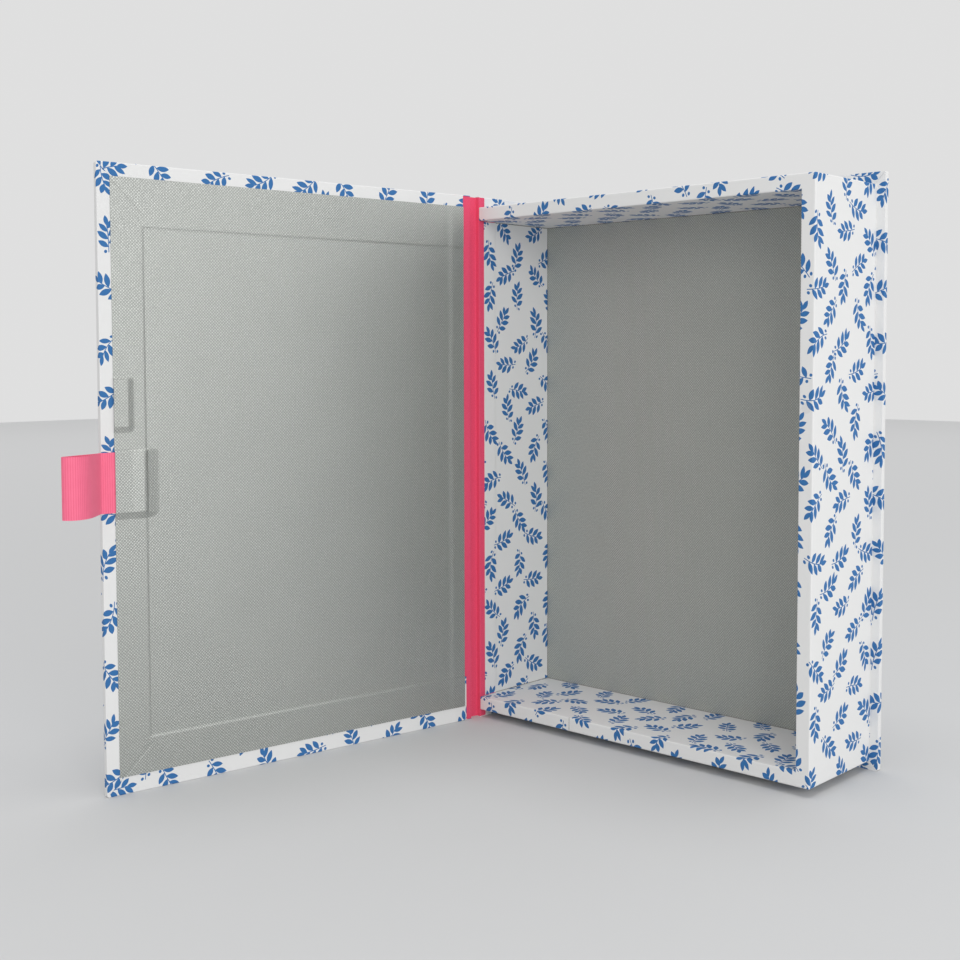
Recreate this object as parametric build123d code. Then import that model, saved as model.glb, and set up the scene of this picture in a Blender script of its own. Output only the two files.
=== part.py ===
from build123d import *
import math
import os

os.makedirs("parts", exist_ok=True)

# Room inside the tray, in millimetres
INNER_LENGTH = 302.0
INNER_WIDTH = 227.0
INNER_DEPTH = 66.0

# Thickness of each sheet and board
WALL_BOARD = 7.8
CASE_BOARD = 3.0
PAPER = 0.25
HINGE_CLOTH = 0.25
LINING = 0.3
FLOOR_LINING = 0.5
RIBBON = 0.35
STEEL = 0.6

# Squares: how far the case boards stand out past the tray walls
SQUARE_HEAD = 6.6
SQUARE_TAIL = 4.7
SQUARE_FORE = 5.1

# Joint between spine and lid
JOINT_GAP = 6.8
CLOSED_GAP = 1.35
OPEN_ANGLE = 98.8
FOLD_CLEARANCE = 0.1
JOINT_PAPER_INSET = 0.3
HINGE_CLOTH_INSET = 1.0

# Turn-ins of the cover paper
LID_TURN_IN_FORE = 24.0
LID_TURN_IN_HEAD = 32.0
LID_TURN_IN_TAIL = 28.0
HIDDEN_LAP = 1.2
MITRE_SLOT = 0.4
MITRE_START = 1.5

# Hinge cloth leaves
LEAF_WIDTH = 14.5
LEAF_SHOWN_SPINE = 4.5
LEAF_TURN_IN_SPINE = 4.9
LEAF_TURN_IN_LID = 4.3
LEAF_END_PLAY = 0.1

# Lid lining margins
LINING_MARGIN_HINGE = 5.5
LINING_MARGIN_FORE = 7.0
LINING_MARGIN_HEAD = 7.2
LINING_MARGIN_TAIL = 9.25
FLOOR_LINING_PLAY = 0.3

# Magnet in the rim and steel plate in the lid
MAGNET_DIAMETER = 6.0
MAGNET_LENGTH = 5.0
MAGNET_BELOW_PLATE_MIDDLE = 2.9
PLATE_WIDTH = 7.4
PLATE_LENGTH = 24.5
PLATE_MARGIN = 7.2
PLATE_ABOVE_TAB = 12.95

# Ribbon pull tab
TAB_WIDTH = 31.8
TAB_HEIGHT = 164.9
TAIL_SHORT = 22.2
TAIL_LONG = 30.6
PLY_GAP = 0.05
LOOP_START = 0.7
LOOP_LEAVING = (1.0, 0.9)
LOOP_RETURNING = (-1.0, -0.5)
LOOP_STEPS = 72
LOOP_POINTS = [
    (2.3, 2.55),
    (5.0, 6.05),
    (9.6, 12.0),
    (13.0, 15.4),
    (16.5, 17.5),
    (20.4, 18.4),
    (24.0, 17.2),
    (25.9, 14.6),
    (24.2, 12.4),
    (19.0, 9.8),
    (12.6, 6.8),
    (6.8, 4.3),
    (2.9, 1.9),
]

# Rounding of edges and corners
COVER_EDGE = 0.4
CORNER_BASE = 3.4
CORNER_LID = 2.2
RIM_EDGE_PAPER = 0.7
TRAY_CORNER = 0.8

# Slopes of sheets that lie over an edge
RAMP_LINING = 1.0
RAMP_LEAF = 0.4
OVERRUN = 5.0

# Edges nearer the spine than these stations stay sharp
SHARP_AT_SPINE = 0.01
SHARP_AT_HINGE = 1.0

# Lengths closer than this count as the same
SAME = 1e-4

# Heights of the tray, measured up from the tail
WALL = WALL_BOARD + 2 * PAPER
TRAY_TAIL = SQUARE_TAIL
INNER_TAIL = TRAY_TAIL + WALL
INNER_HEAD = INNER_TAIL + INNER_LENGTH
TRAY_HEAD = INNER_HEAD + WALL
HEIGHT = TRAY_HEAD + SQUARE_HEAD

# Stations across the tray, measured from the spine's inner face
SPINE_IN = -PAPER
SPINE_OUT = SPINE_IN - CASE_BOARD
CASE_OUT = SPINE_OUT - PAPER
WALL_END = SPINE_IN + HINGE_CLOTH + PAPER
TRAY_FORE = INNER_WIDTH + WALL
CASE_FORE = TRAY_FORE + SQUARE_FORE

# Stations down the tray, measured from the rim
FLOOR_PAPER = PAPER + INNER_DEPTH
BASE_IN = FLOOR_PAPER + PAPER
BASE_OUT = BASE_IN + CASE_BOARD
CASE_BACK = BASE_OUT + PAPER

# Heights of the catch, which sits above the ribbon tab
PLATE_HEIGHT = TAB_HEIGHT + TAB_WIDTH / 2 + PLATE_ABOVE_TAB + PLATE_LENGTH / 2
MAGNET_HEIGHT = PLATE_HEIGHT - MAGNET_BELOW_PLATE_MIDDLE

# Layers of the lid, measured inwards from its outer face
LID_BOARD_IN = PAPER + CASE_BOARD
LID_THICK = LID_BOARD_IN + PAPER

# Joint geometry, seen from the head
DROP = LID_THICK + CLOSED_GAP
STRIP_CLOSED = math.degrees(math.asin(DROP / JOINT_GAP))
STRIP_OPEN = STRIP_CLOSED + OPEN_ANGLE / 2
STRIP_SIN = math.sin(math.radians(STRIP_CLOSED))
STRIP_COS = math.cos(math.radians(STRIP_CLOSED))
LID_WIDTH = CASE_FORE - CASE_OUT - JOINT_GAP * STRIP_COS
FOLD_A = (CASE_OUT, 0.0)
FOLD_B = (
    FOLD_A[0] + JOINT_GAP * math.cos(math.radians(STRIP_OPEN)),
    FOLD_A[1] - JOINT_GAP * math.sin(math.radians(STRIP_OPEN)),
)


def block(x0, x1, y0, y1, z0, z1):
    """Return a box given by its limits on each axis."""
    centre = Pos((x0 + x1) / 2, (y0 + y1) / 2, (z0 + z1) / 2)
    return centre * Box(x1 - x0, y1 - y0, z1 - z0)


def near(value, target):
    """Tell whether two lengths are the same."""
    return abs(value - target) < SAME


def board_plate(x0, x1, y0, y1, z0, z1, corner):
    """Return a board whose two fore-edge corners are rounded."""
    plate = block(x0, x1, y0, y1, z0, z1)
    corners = plate.edges().filter_by(Axis.Y).sort_by(Axis.X)[-2:]
    return fillet(corners, corner)


def round_rims(shape, levels, radius, stop):
    """Round the edges that lie on the given y levels, past the x stop."""
    chosen = [
        edge
        for edge in shape.edges()
        if any(near(edge.bounding_box().min.Y, level) for level in levels)
        and any(near(edge.bounding_box().max.Y, level) for level in levels)
        and edge.bounding_box().size.Y < SAME
        and edge.center().X > stop
    ]
    return fillet(chosen, radius)


def mound(foot, rise, level, ramp):
    """Return a low flat-topped rise over a footprint (a0, a1, b0, b1)."""
    a0, a1, b0, b1 = foot
    middle = Pos((a0 + a1) / 2, (b0 + b1) / 2)
    low = Plane.XY.offset(level) * middle * Rectangle(
        a1 - a0 + 2 * ramp, b1 - b0 + 2 * ramp
    )
    high = Plane.XY.offset(level + rise) * middle * Rectangle(a1 - a0, b1 - b0)
    return loft([low, high], ruled=True)


def draped_sheet(outline, rises, thick, ramp):
    """Return a sheet of one thickness lying over a board and what is on it."""
    a0, a1, b0, b1 = outline
    tallest = max(rise for _, rise in rises)
    sheet = block(a0, a1, b0, b1, 0, thick)
    for foot, rise in rises:
        sheet += mound(foot, rise, thick, ramp)
    for foot, rise in rises:
        sheet -= mound(foot, rise, 0, ramp)
    return sheet & block(a0, a1, b0, b1, 0, tallest + thick)


def on_lid(shape):
    """Lay a sheet, drawn flat, on the lid board's inner face."""
    face = Plane(origin=(0, LID_BOARD_IN, 0), x_dir=(1, 0, 0), z_dir=(0, 1, 0))
    return face.location * shape


def on_spine(shape):
    """Lay a sheet, drawn flat, on the spine board's inner face."""
    face = Plane(origin=(SPINE_IN, 0, 0), x_dir=(0, 1, 0), z_dir=(1, 0, 0))
    return face.location * shape


def lid_foot(s0, s1, z0, z1):
    """Turn limits on the lid into limits on the flat drawing of on_lid."""
    return (s0, s1, -z1, -z0)


def mitre_slot(corner_x, corner_z, up, reach, y0, y1):
    """Return the slot where two turn-ins meet at a fore-edge corner."""
    long = (reach - MITRE_START) * math.sqrt(2)
    middle = (reach + MITRE_START) / 2
    turn = 45 if up else -45
    where = Pos(corner_x - middle, (y0 + y1) / 2, corner_z + (-middle if up else middle))
    return where * Rot(0, -turn, 0) * Box(long, y1 - y0, MITRE_SLOT)


def case_cover(x1, y0, thick, corner, turn_ins, x_free):
    """Return cover paper wrapped over a case board on three edges.

    The outer face is at y0 and the paper folds over towards y0 + thick.
    """
    fore, head, tail = turn_ins
    far = y0 + thick
    inner0, inner1 = sorted((y0 + math.copysign(PAPER, thick), far - math.copysign(PAPER, thick)))
    cover = board_plate(0, x1, *sorted((y0, far)), 0, HEIGHT, corner)
    cover = round_rims(cover, [y0, far], COVER_EDGE, SHARP_AT_HINGE)
    core = board_plate(
        -OVERRUN, x1 - PAPER, inner0, inner1, PAPER, HEIGHT - PAPER, corner - PAPER
    )
    cover -= core
    layer = sorted((far, far - math.copysign(PAPER, thick)))
    cover -= block(-OVERRUN, x1 - fore, *layer, tail, HEIGHT - head)
    cover -= block(-OVERRUN, x_free, *layer, PAPER, HEIGHT - PAPER)
    for up, corner_z, reach in ((True, HEIGHT, min(fore, head)), (False, 0, min(fore, tail))):
        cover -= mitre_slot(x1, corner_z, up, reach, *layer)
    return cover


def place_lid(shape):
    """Swing a lid piece, built flat from its hinge edge, to the open pose."""
    return Pos(FOLD_B[0], FOLD_B[1], 0) * Rot(0, 0, -OPEN_ANGLE) * shape


def place_strip(shape):
    """Swing a joint piece to the open pose."""
    return Pos(FOLD_A[0], FOLD_A[1], 0) * Rot(0, 0, -STRIP_OPEN) * shape


def fold_start(layer):
    """Return where a joint layer may start so that it clears both folds."""
    return (layer * max(STRIP_COS, STRIP_SIN) + FOLD_CLEARANCE) / min(STRIP_COS, STRIP_SIN)


def ribbon_loop():
    """Return the pull tab's loop, drawn as an outline and swept up its width."""
    base = LID_THICK
    back = (LOOP_START, RIBBON / 2)
    front = (LOOP_START, RIBBON * 1.5 + PLY_GAP)
    points = [front] + LOOP_POINTS + [back]
    centre = [(LID_WIDTH + s, base + n) for s, n in points]
    middle = Spline(*centre, tangents=[LOOP_LEAVING, LOOP_RETURNING])
    left = []
    right = []
    for step in range(LOOP_STEPS + 1):
        at = middle @ (step / LOOP_STEPS)
        along = middle % (step / LOOP_STEPS)
        left.append((at.X - along.Y * RIBBON / 2, at.Y + along.X * RIBBON / 2))
        right.append((at.X + along.Y * RIBBON / 2, at.Y - along.X * RIBBON / 2))
    edges = [
        Spline(*left),
        Line(left[-1], right[-1]),
        Spline(*right),
        Line(right[0], left[0]),
    ]
    outline = make_face(edges)
    return Pos(0, 0, TAB_HEIGHT - TAB_WIDTH / 2) * extrude(outline, TAB_WIDTH, dir=(0, 0, 1))


parts = {}

# Tray walls: one U of board, cut into its three boards
core = block(
    WALL_END,
    TRAY_FORE - PAPER,
    PAPER,
    FLOOR_PAPER,
    TRAY_TAIL + PAPER,
    TRAY_HEAD - PAPER,
)
core -= block(
    -OVERRUN,
    INNER_WIDTH + PAPER,
    -OVERRUN,
    FLOOR_PAPER + OVERRUN,
    INNER_TAIL - PAPER,
    INNER_HEAD + PAPER,
)
core = fillet(core.edges().filter_by(Axis.Y).sort_by(Axis.X)[-2:], TRAY_CORNER - PAPER)
core = round_rims(core, [PAPER], RIM_EDGE_PAPER - PAPER, WALL_END + SHARP_AT_SPINE)
across = block(
    -OVERRUN,
    INNER_WIDTH + PAPER,
    -OVERRUN,
    CASE_BACK,
    HEIGHT / 2,
    HEIGHT,
)
parts["head_wall"] = core & across
parts["tail_wall"] = core & (Pos(0, 0, -HEIGHT / 2) * across)
magnet = Pos(TRAY_FORE - WALL / 2, PAPER + MAGNET_LENGTH / 2, MAGNET_HEIGHT) * Rot(
    90, 0, 0
) * Cylinder(MAGNET_DIAMETER / 2, MAGNET_LENGTH)
fore_slab = block(
    INNER_WIDTH + PAPER,
    CASE_FORE,
    -OVERRUN,
    CASE_BACK,
    0,
    HEIGHT,
)
parts["fore_edge_wall"] = (core & fore_slab) - magnet
parts["rim_magnet"] = magnet

# Paper strip around the walls
wrap = block(WALL_END, TRAY_FORE, 0, FLOOR_PAPER, TRAY_TAIL, TRAY_HEAD)
wrap -= block(
    -OVERRUN,
    INNER_WIDTH,
    -OVERRUN,
    FLOOR_PAPER + OVERRUN,
    INNER_TAIL,
    INNER_HEAD,
)
wrap = fillet(wrap.edges().filter_by(Axis.Y).sort_by(Axis.X)[-2:], TRAY_CORNER)
wrap = round_rims(wrap, [0], RIM_EDGE_PAPER, WALL_END + SHARP_AT_SPINE)
parts["tray_wall_paper"] = wrap - core

# Base board and its cover paper
base = board_plate(
    SPINE_IN,
    CASE_FORE - PAPER,
    BASE_IN,
    BASE_OUT,
    PAPER,
    HEIGHT - PAPER,
    CORNER_BASE - PAPER,
)
parts["base_board"] = base
base_turn_ins = (
    SQUARE_FORE + WALL - HIDDEN_LAP,
    SQUARE_HEAD + WALL - HIDDEN_LAP,
    SQUARE_TAIL + WALL - HIDDEN_LAP,
)
base_cover = case_cover(
    CASE_FORE,
    CASE_BACK,
    FLOOR_PAPER - CASE_BACK,
    CORNER_BASE,
    base_turn_ins,
    0.0,
)
base_cover += block(CASE_OUT, 0, BASE_OUT, CASE_BACK, 0, HEIGHT)
parts["base_cover_paper"] = base_cover

# Floor lining
parts["base_lining"] = block(
    FLOOR_LINING_PLAY,
    INNER_WIDTH - FLOOR_LINING_PLAY,
    BASE_IN - FLOOR_LINING,
    BASE_IN,
    INNER_TAIL + FLOOR_LINING_PLAY,
    INNER_HEAD - FLOOR_LINING_PLAY,
)

# Spine board and its cover paper
parts["spine_board"] = block(
    SPINE_OUT,
    SPINE_IN,
    HINGE_CLOTH,
    BASE_OUT,
    PAPER,
    HEIGHT - PAPER,
)
spine_turn_head = HEIGHT - INNER_HEAD
spine_turn_tail = INNER_TAIL
spine_cover = block(CASE_OUT, 0, 0, BASE_OUT, 0, HEIGHT)
spine_cover -= block(
    SPINE_OUT,
    OVERRUN,
    -OVERRUN,
    CASE_BACK,
    PAPER,
    HEIGHT - PAPER,
)
leaf_rise = [((-OVERRUN, LEAF_WIDTH, -OVERRUN, HEIGHT + OVERRUN), HINGE_CLOTH)]
leaf_low = HINGE_CLOTH_INSET
leaf_high = HEIGHT - HINGE_CLOTH_INSET
for z0, z1 in ((0, spine_turn_tail), (HEIGHT - spine_turn_head, HEIGHT)):
    outline = (LEAF_TURN_IN_SPINE, FLOOR_PAPER, z0, z1)
    spine_cover += on_spine(draped_sheet(outline, leaf_rise, PAPER, RAMP_LEAF))
for z0, z1 in ((0, leaf_low - LEAF_END_PLAY), (leaf_high + LEAF_END_PLAY, HEIGHT)):
    spine_cover += block(SPINE_IN, 0, LEAF_TURN_IN_SPINE, LEAF_WIDTH + RAMP_LEAF, z0, z1)
parts["spine_cover_paper"] = spine_cover

# Hinge cloth on the spine, then the inner paper over it
spine_leaf = block(SPINE_IN, SPINE_IN + HINGE_CLOTH, 0, LEAF_WIDTH, leaf_low, leaf_high)
spine_leaf += block(SPINE_OUT, SPINE_IN, 0, HINGE_CLOTH, leaf_low, leaf_high)
parts["hinge_cloth_spine_leaf"] = spine_leaf
inner_outline = (
    LEAF_SHOWN_SPINE,
    BASE_IN - FLOOR_LINING,
    INNER_TAIL + RAMP_LEAF,
    INNER_HEAD - RAMP_LEAF,
)
parts["spine_inner_paper"] = on_spine(
    draped_sheet(inner_outline, leaf_rise, PAPER, RAMP_LEAF)
)

# Free strip over the joint
paper_start = fold_start(PAPER)
cloth_start = fold_start(PAPER + HINGE_CLOTH)
joint_paper = block(
    paper_start,
    JOINT_GAP - paper_start,
    0,
    PAPER,
    JOINT_PAPER_INSET,
    HEIGHT - JOINT_PAPER_INSET,
)
joint_cloth = block(
    cloth_start,
    JOINT_GAP - cloth_start,
    PAPER,
    PAPER + HINGE_CLOTH,
    HINGE_CLOTH_INSET,
    HEIGHT - HINGE_CLOTH_INSET,
)
parts["joint_cover_paper"] = place_strip(joint_paper)
parts["hinge_cloth_joint"] = place_strip(joint_cloth)

# Lid board and its cover paper
lid_board = board_plate(
    HINGE_CLOTH,
    LID_WIDTH - PAPER,
    PAPER,
    LID_BOARD_IN,
    PAPER,
    HEIGHT - PAPER,
    CORNER_LID - PAPER,
)
parts["lid_board"] = place_lid(lid_board)
lid_cover = case_cover(
    LID_WIDTH,
    0,
    LID_THICK,
    CORNER_LID,
    (LID_TURN_IN_FORE, LID_TURN_IN_HEAD, LID_TURN_IN_TAIL),
    HINGE_CLOTH,
)
lap_end = LEAF_WIDTH + RAMP_LEAF
lid_cover -= block(
    -OVERRUN,
    lap_end,
    LID_BOARD_IN,
    LID_THICK,
    leaf_low - LEAF_END_PLAY,
    leaf_high + LEAF_END_PLAY,
)
lid_cover -= block(-OVERRUN, LEAF_TURN_IN_LID, LID_BOARD_IN, LID_THICK, 0, HEIGHT)
lid_leaf_rise = (lid_foot(-OVERRUN, LEAF_WIDTH, -OVERRUN, HEIGHT + OVERRUN), HINGE_CLOTH)
for z0, z1 in (
    (COVER_EDGE, LID_TURN_IN_TAIL),
    (HEIGHT - LID_TURN_IN_HEAD, HEIGHT - COVER_EDGE),
):
    lap = lid_foot(LEAF_TURN_IN_LID, lap_end, z0, z1)
    lid_cover += on_lid(draped_sheet(lap, [lid_leaf_rise], PAPER, RAMP_LEAF))
parts["lid_cover_paper"] = place_lid(lid_cover)

# Hinge cloth on the lid, under the turn-ins
lid_leaf = block(0, LEAF_WIDTH, LID_BOARD_IN, LID_THICK, leaf_low, leaf_high)
lid_leaf += block(0, HINGE_CLOTH, PAPER, LID_BOARD_IN, leaf_low, leaf_high)
parts["hinge_cloth_lid_leaf"] = place_lid(lid_leaf)

# Rises that the lid lining lies over
lid_turn_ins = [
    (lid_foot(-OVERRUN, LID_WIDTH + OVERRUN, -OVERRUN, LID_TURN_IN_TAIL), PAPER),
    (
        lid_foot(
            -OVERRUN,
            LID_WIDTH + OVERRUN,
            HEIGHT - LID_TURN_IN_HEAD,
            HEIGHT + OVERRUN,
        ),
        PAPER,
    ),
]
# Steel plate on the fore-edge turn-in
plate = block(
    LID_WIDTH - PLATE_MARGIN - PLATE_WIDTH,
    LID_WIDTH - PLATE_MARGIN,
    LID_THICK,
    LID_THICK + STEEL,
    PLATE_HEIGHT - PLATE_LENGTH / 2,
    PLATE_HEIGHT + PLATE_LENGTH / 2,
)
parts["lid_steel_plate"] = place_lid(plate)

# Ribbon tails: a long ply that steps off the turn-in, a short one on top
tab_low = TAB_HEIGHT - TAB_WIDTH / 2
tab_high = TAB_HEIGHT + TAB_WIDTH / 2
fore_turn_in = (
    lid_foot(
        LID_WIDTH - LID_TURN_IN_FORE,
        LID_WIDTH + OVERRUN,
        -OVERRUN,
        HEIGHT + OVERRUN,
    ),
    PAPER,
)
tails = on_lid(
    draped_sheet(
        lid_foot(LID_WIDTH - TAIL_LONG, LID_WIDTH, tab_low, tab_high),
        [fore_turn_in],
        RIBBON,
        RAMP_LEAF,
    )
)
tails += block(
    LID_WIDTH - TAIL_SHORT,
    LID_WIDTH,
    LID_THICK + RIBBON,
    LID_THICK + 2 * RIBBON + PLY_GAP,
    tab_low,
    tab_high,
)
parts["pull_tab_tails"] = place_lid(tails)
parts["pull_tab_loop"] = place_lid(ribbon_loop())

# Lid lining, draped over turn-ins, hinge cloth, steel plate and ribbon tails
lining_rises = lid_turn_ins + [
    fore_turn_in,
    lid_leaf_rise,
    (
        lid_foot(-OVERRUN, LEAF_WIDTH, -OVERRUN, LID_TURN_IN_TAIL),
        PAPER + HINGE_CLOTH,
    ),
    (
        lid_foot(
            -OVERRUN,
            LEAF_WIDTH,
            HEIGHT - LID_TURN_IN_HEAD,
            HEIGHT + OVERRUN,
        ),
        PAPER + HINGE_CLOTH,
    ),
    (
        lid_foot(
            LID_WIDTH - PLATE_MARGIN - PLATE_WIDTH,
            LID_WIDTH + OVERRUN,
            PLATE_HEIGHT - PLATE_LENGTH / 2,
            PLATE_HEIGHT + PLATE_LENGTH / 2,
        ),
        PAPER + STEEL,
    ),
    (
        lid_foot(LID_WIDTH - TAIL_SHORT, LID_WIDTH + OVERRUN, tab_low, tab_high),
        PAPER + 2 * RIBBON + PLY_GAP,
    ),
    (
        lid_foot(
            LID_WIDTH - LID_TURN_IN_FORE - RAMP_LEAF,
            LID_WIDTH + OVERRUN,
            tab_low,
            tab_high,
        ),
        PAPER + RIBBON,
    ),
    (
        lid_foot(LID_WIDTH - TAIL_LONG, LID_WIDTH + OVERRUN, tab_low, tab_high),
        RIBBON,
    ),
]
lid_lining = draped_sheet(
    lid_foot(
        LINING_MARGIN_HINGE,
        LID_WIDTH - LINING_MARGIN_FORE,
        LINING_MARGIN_TAIL,
        HEIGHT - LINING_MARGIN_HEAD,
    ),
    lining_rises,
    LINING,
    RAMP_LINING,
)
parts["lid_lining"] = place_lid(on_lid(lid_lining))

# Origin at the bottom centre of the whole part, then one file for each piece
whole = Compound(children=[Compound(list(piece.solids())) for piece in parts.values()])
limits = whole.bounding_box()
shift = Pos(
    -(limits.min.X + limits.max.X) / 2,
    -(limits.min.Y + limits.max.Y) / 2,
    -limits.min.Z,
)
for name, piece in parts.items():
    solids = piece.solids()
    print(name, len(solids), "solids", round(sum(solid.volume for solid in solids), 1))
    placed = [shift * solid for solid in solids]
    export_step(placed[0] if len(placed) == 1 else Compound(placed), f"parts/{name}.step")


def report_point(name, x, y, z):
    """Print a point of the part in metres, in the part's own frame."""
    at = shift * Pos(x, y, z)
    values = [round(value / 1000, 6) for value in tuple(at.position)]
    print(name, values)


def lid_point(s, n):
    """Return where a point of the lid stands in the open pose."""
    turn = math.radians(OPEN_ANGLE)
    x = FOLD_B[0] + s * math.cos(turn) + n * math.sin(turn)
    y = FOLD_B[1] - s * math.sin(turn) + n * math.cos(turn)
    return x, y


print("size", [round(v, 2) for v in (limits.size.X, limits.size.Y, limits.size.Z)])
print("lid width", round(LID_WIDTH, 3), "strip closed", round(STRIP_CLOSED, 3))
report_point("origin of the tray", 0, 0, 0)
report_point("strip_fold", *FOLD_A, HEIGHT / 2)
report_point("lid_fold", *FOLD_B, HEIGHT / 2)
report_point("tab_flex", *lid_point(LID_WIDTH, LID_THICK + RIBBON), TAB_HEIGHT)
report_point("back face", (CASE_OUT + CASE_FORE) / 2, CASE_BACK, HEIGHT / 2)
report_point("spine face", CASE_OUT, CASE_BACK / 2, HEIGHT / 2)
report_point("lid outer face", *lid_point(LID_WIDTH / 2, 0), HEIGHT / 2)
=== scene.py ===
"""Dress the box file: cover papers, book cloths, ribbon, boards, light and camera."""

import logging
import math
from dataclasses import dataclass, field, replace
from enum import Enum
from typing import Callable, Iterable, Sequence, Union

import bmesh
import bpy
from mathutils import Matrix, Vector


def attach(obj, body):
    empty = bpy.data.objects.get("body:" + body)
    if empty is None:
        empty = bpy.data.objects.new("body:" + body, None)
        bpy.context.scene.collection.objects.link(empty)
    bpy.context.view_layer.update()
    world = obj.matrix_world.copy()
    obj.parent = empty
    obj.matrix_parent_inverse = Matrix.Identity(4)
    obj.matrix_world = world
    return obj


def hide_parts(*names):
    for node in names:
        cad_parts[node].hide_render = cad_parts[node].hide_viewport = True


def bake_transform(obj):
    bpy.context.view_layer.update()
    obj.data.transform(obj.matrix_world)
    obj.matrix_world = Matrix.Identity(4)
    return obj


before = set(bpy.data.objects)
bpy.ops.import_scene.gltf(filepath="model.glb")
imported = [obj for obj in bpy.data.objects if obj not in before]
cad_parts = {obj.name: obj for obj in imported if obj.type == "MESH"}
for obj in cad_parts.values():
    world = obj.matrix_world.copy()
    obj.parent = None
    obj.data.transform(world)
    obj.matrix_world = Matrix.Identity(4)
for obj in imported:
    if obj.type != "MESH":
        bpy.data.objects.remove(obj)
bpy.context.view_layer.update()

LOG = logging.getLogger("box_file")

# A millimetre in metres
MM = 0.001

# Millimetres within which two places are the same, and past which they are clearly apart
SAME = 1e-3
APART = 1.0

# Least part of a face's normal along the axis that the face is square to
SQUARE = 0.99

X = Vector((1, 0, 0))
Y = Vector((0, 1, 0))
Z = Vector((0, 0, 1))

Socket = bpy.types.NodeSocket
Value = Union[float, Socket]
Place = Union[Sequence[float], Socket]
Point = tuple[float, float, float]
Pair = tuple[float, float]
Colour = tuple[float, float, float, float]
Sockets = Sequence[tuple[str, str]]
Inputs = dict[Union[int, str], object]
Mesh = bmesh.types.BMesh
Edge = bmesh.types.BMEdge
Face = bmesh.types.BMFace
Test = Callable[[Vector], bool]
Unfold = Callable[[Face, Vector], Pair]


class Body(Enum):
    """Bodies of the part that pieces ride on."""

    TRAY = "tray"
    STRIP = "joint_strip"
    LID = "lid"
    TAB = "tab"


class Slot(Enum):
    """Material slots of the record; each new piece lists one."""

    PAPER = "printed_paper"
    GREY_CLOTH = "grey_cloth"
    PINK_CLOTH = "pink_cloth"
    RIBBON = "pink_ribbon"


class Zone(Enum):
    """Parts of a board's wrapping: the outer face, and the edges with their turn-ins."""

    OUTER = "outer"
    FORE = "fore"
    HEAD = "head"
    TAIL = "tail"


@dataclass(frozen=True)
class BoxSizes:
    """Sizes of the file in millimetres.

    In tray coordinates, X runs from the spine's inner face to the fore-edge, Y from the
    walls' rims down to the base, and Z from the tail up to the head. In lid coordinates,
    X runs from the lid's hinge edge to its fore-edge and Y from its outer to its inner face.
    """

    height: float = 329.9
    board: float = 3.0
    paper: float = 0.25
    cloth: float = 0.25
    lining: float = 0.3
    wall: float = 8.3
    inner_width: float = 227.0
    inner_length: float = 302.0
    inner_tail: float = 13.0
    inner_depth: float = 66.0
    case_fore: float = 240.4
    lid_width: float = 239.134
    joint_gap: float = 6.8
    strip_angle: float = 94.9
    open_angle: float = 98.8
    leaf_end: float = 14.5
    cloth_inset: float = 0.35
    turn_in_fore: float = 24.0
    turn_in_head: float = 32.0
    turn_in_tail: float = 28.0
    tab_height: float = 164.9
    tab_width: float = 31.8
    magnet: Point = (231.15, 0.0, 203.1)
    origin: Point = (-99.896, 100.955, 0.0)

    @property
    def thick(self) -> float:
        """Return the thickness of a board with paper on both faces."""
        return self.board + 2 * self.paper

    @property
    def inner_head(self) -> float:
        """Return the height of the head wall's inner face."""
        return self.inner_tail + self.inner_length

    @property
    def tray_tail(self) -> float:
        """Return the height of the tail wall's outer face."""
        return self.inner_tail - self.wall

    @property
    def tray_head(self) -> float:
        """Return the height of the head wall's outer face."""
        return self.inner_head + self.wall

    @property
    def tray_fore(self) -> float:
        """Return the place of the fore-edge wall's outer face."""
        return self.inner_width + self.wall

    @property
    def floor_paper(self) -> float:
        """Return the depth of the paper turned over the base, on which the floor's lining lies."""
        return self.inner_depth + self.cloth

    @property
    def case_back(self) -> float:
        """Return the depth of the base's outer face."""
        return self.floor_paper + self.thick

    @property
    def case_out(self) -> float:
        """Return the place of the spine's outer face."""
        return -self.thick

    @property
    def strip_run(self) -> Vector:
        """Return the direction in which the open joint runs from the spine, in tray coordinates."""
        turn = math.radians(self.strip_angle)
        return Vector((math.cos(turn), -math.sin(turn), 0.0))

    @property
    def fold_a(self) -> Vector:
        """Return the fold at the spine, in tray coordinates."""
        return Vector((self.case_out, 0.0, 0.0))

    @property
    def fold_b(self) -> Vector:
        """Return the fold at the lid, in tray coordinates."""
        return self.fold_a + self.joint_gap * self.strip_run

    @property
    def tray(self) -> Matrix:
        """Return the placing of tray millimetres in the world."""
        return Matrix.Scale(MM, 4) @ Matrix.Translation(self.origin)

    @property
    def strip(self) -> Matrix:
        """Return the placing of joint millimetres in the world."""
        turn = Matrix.Rotation(-math.radians(self.strip_angle), 4, "Z")
        return self.tray @ Matrix.Translation(self.fold_a) @ turn

    @property
    def lid(self) -> Matrix:
        """Return the placing of lid millimetres in the world."""
        turn = Matrix.Rotation(-math.radians(self.open_angle), 4, "Z")
        return self.tray @ Matrix.Translation(self.fold_b) @ turn


SIZES = BoxSizes()


# Shader building


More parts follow.
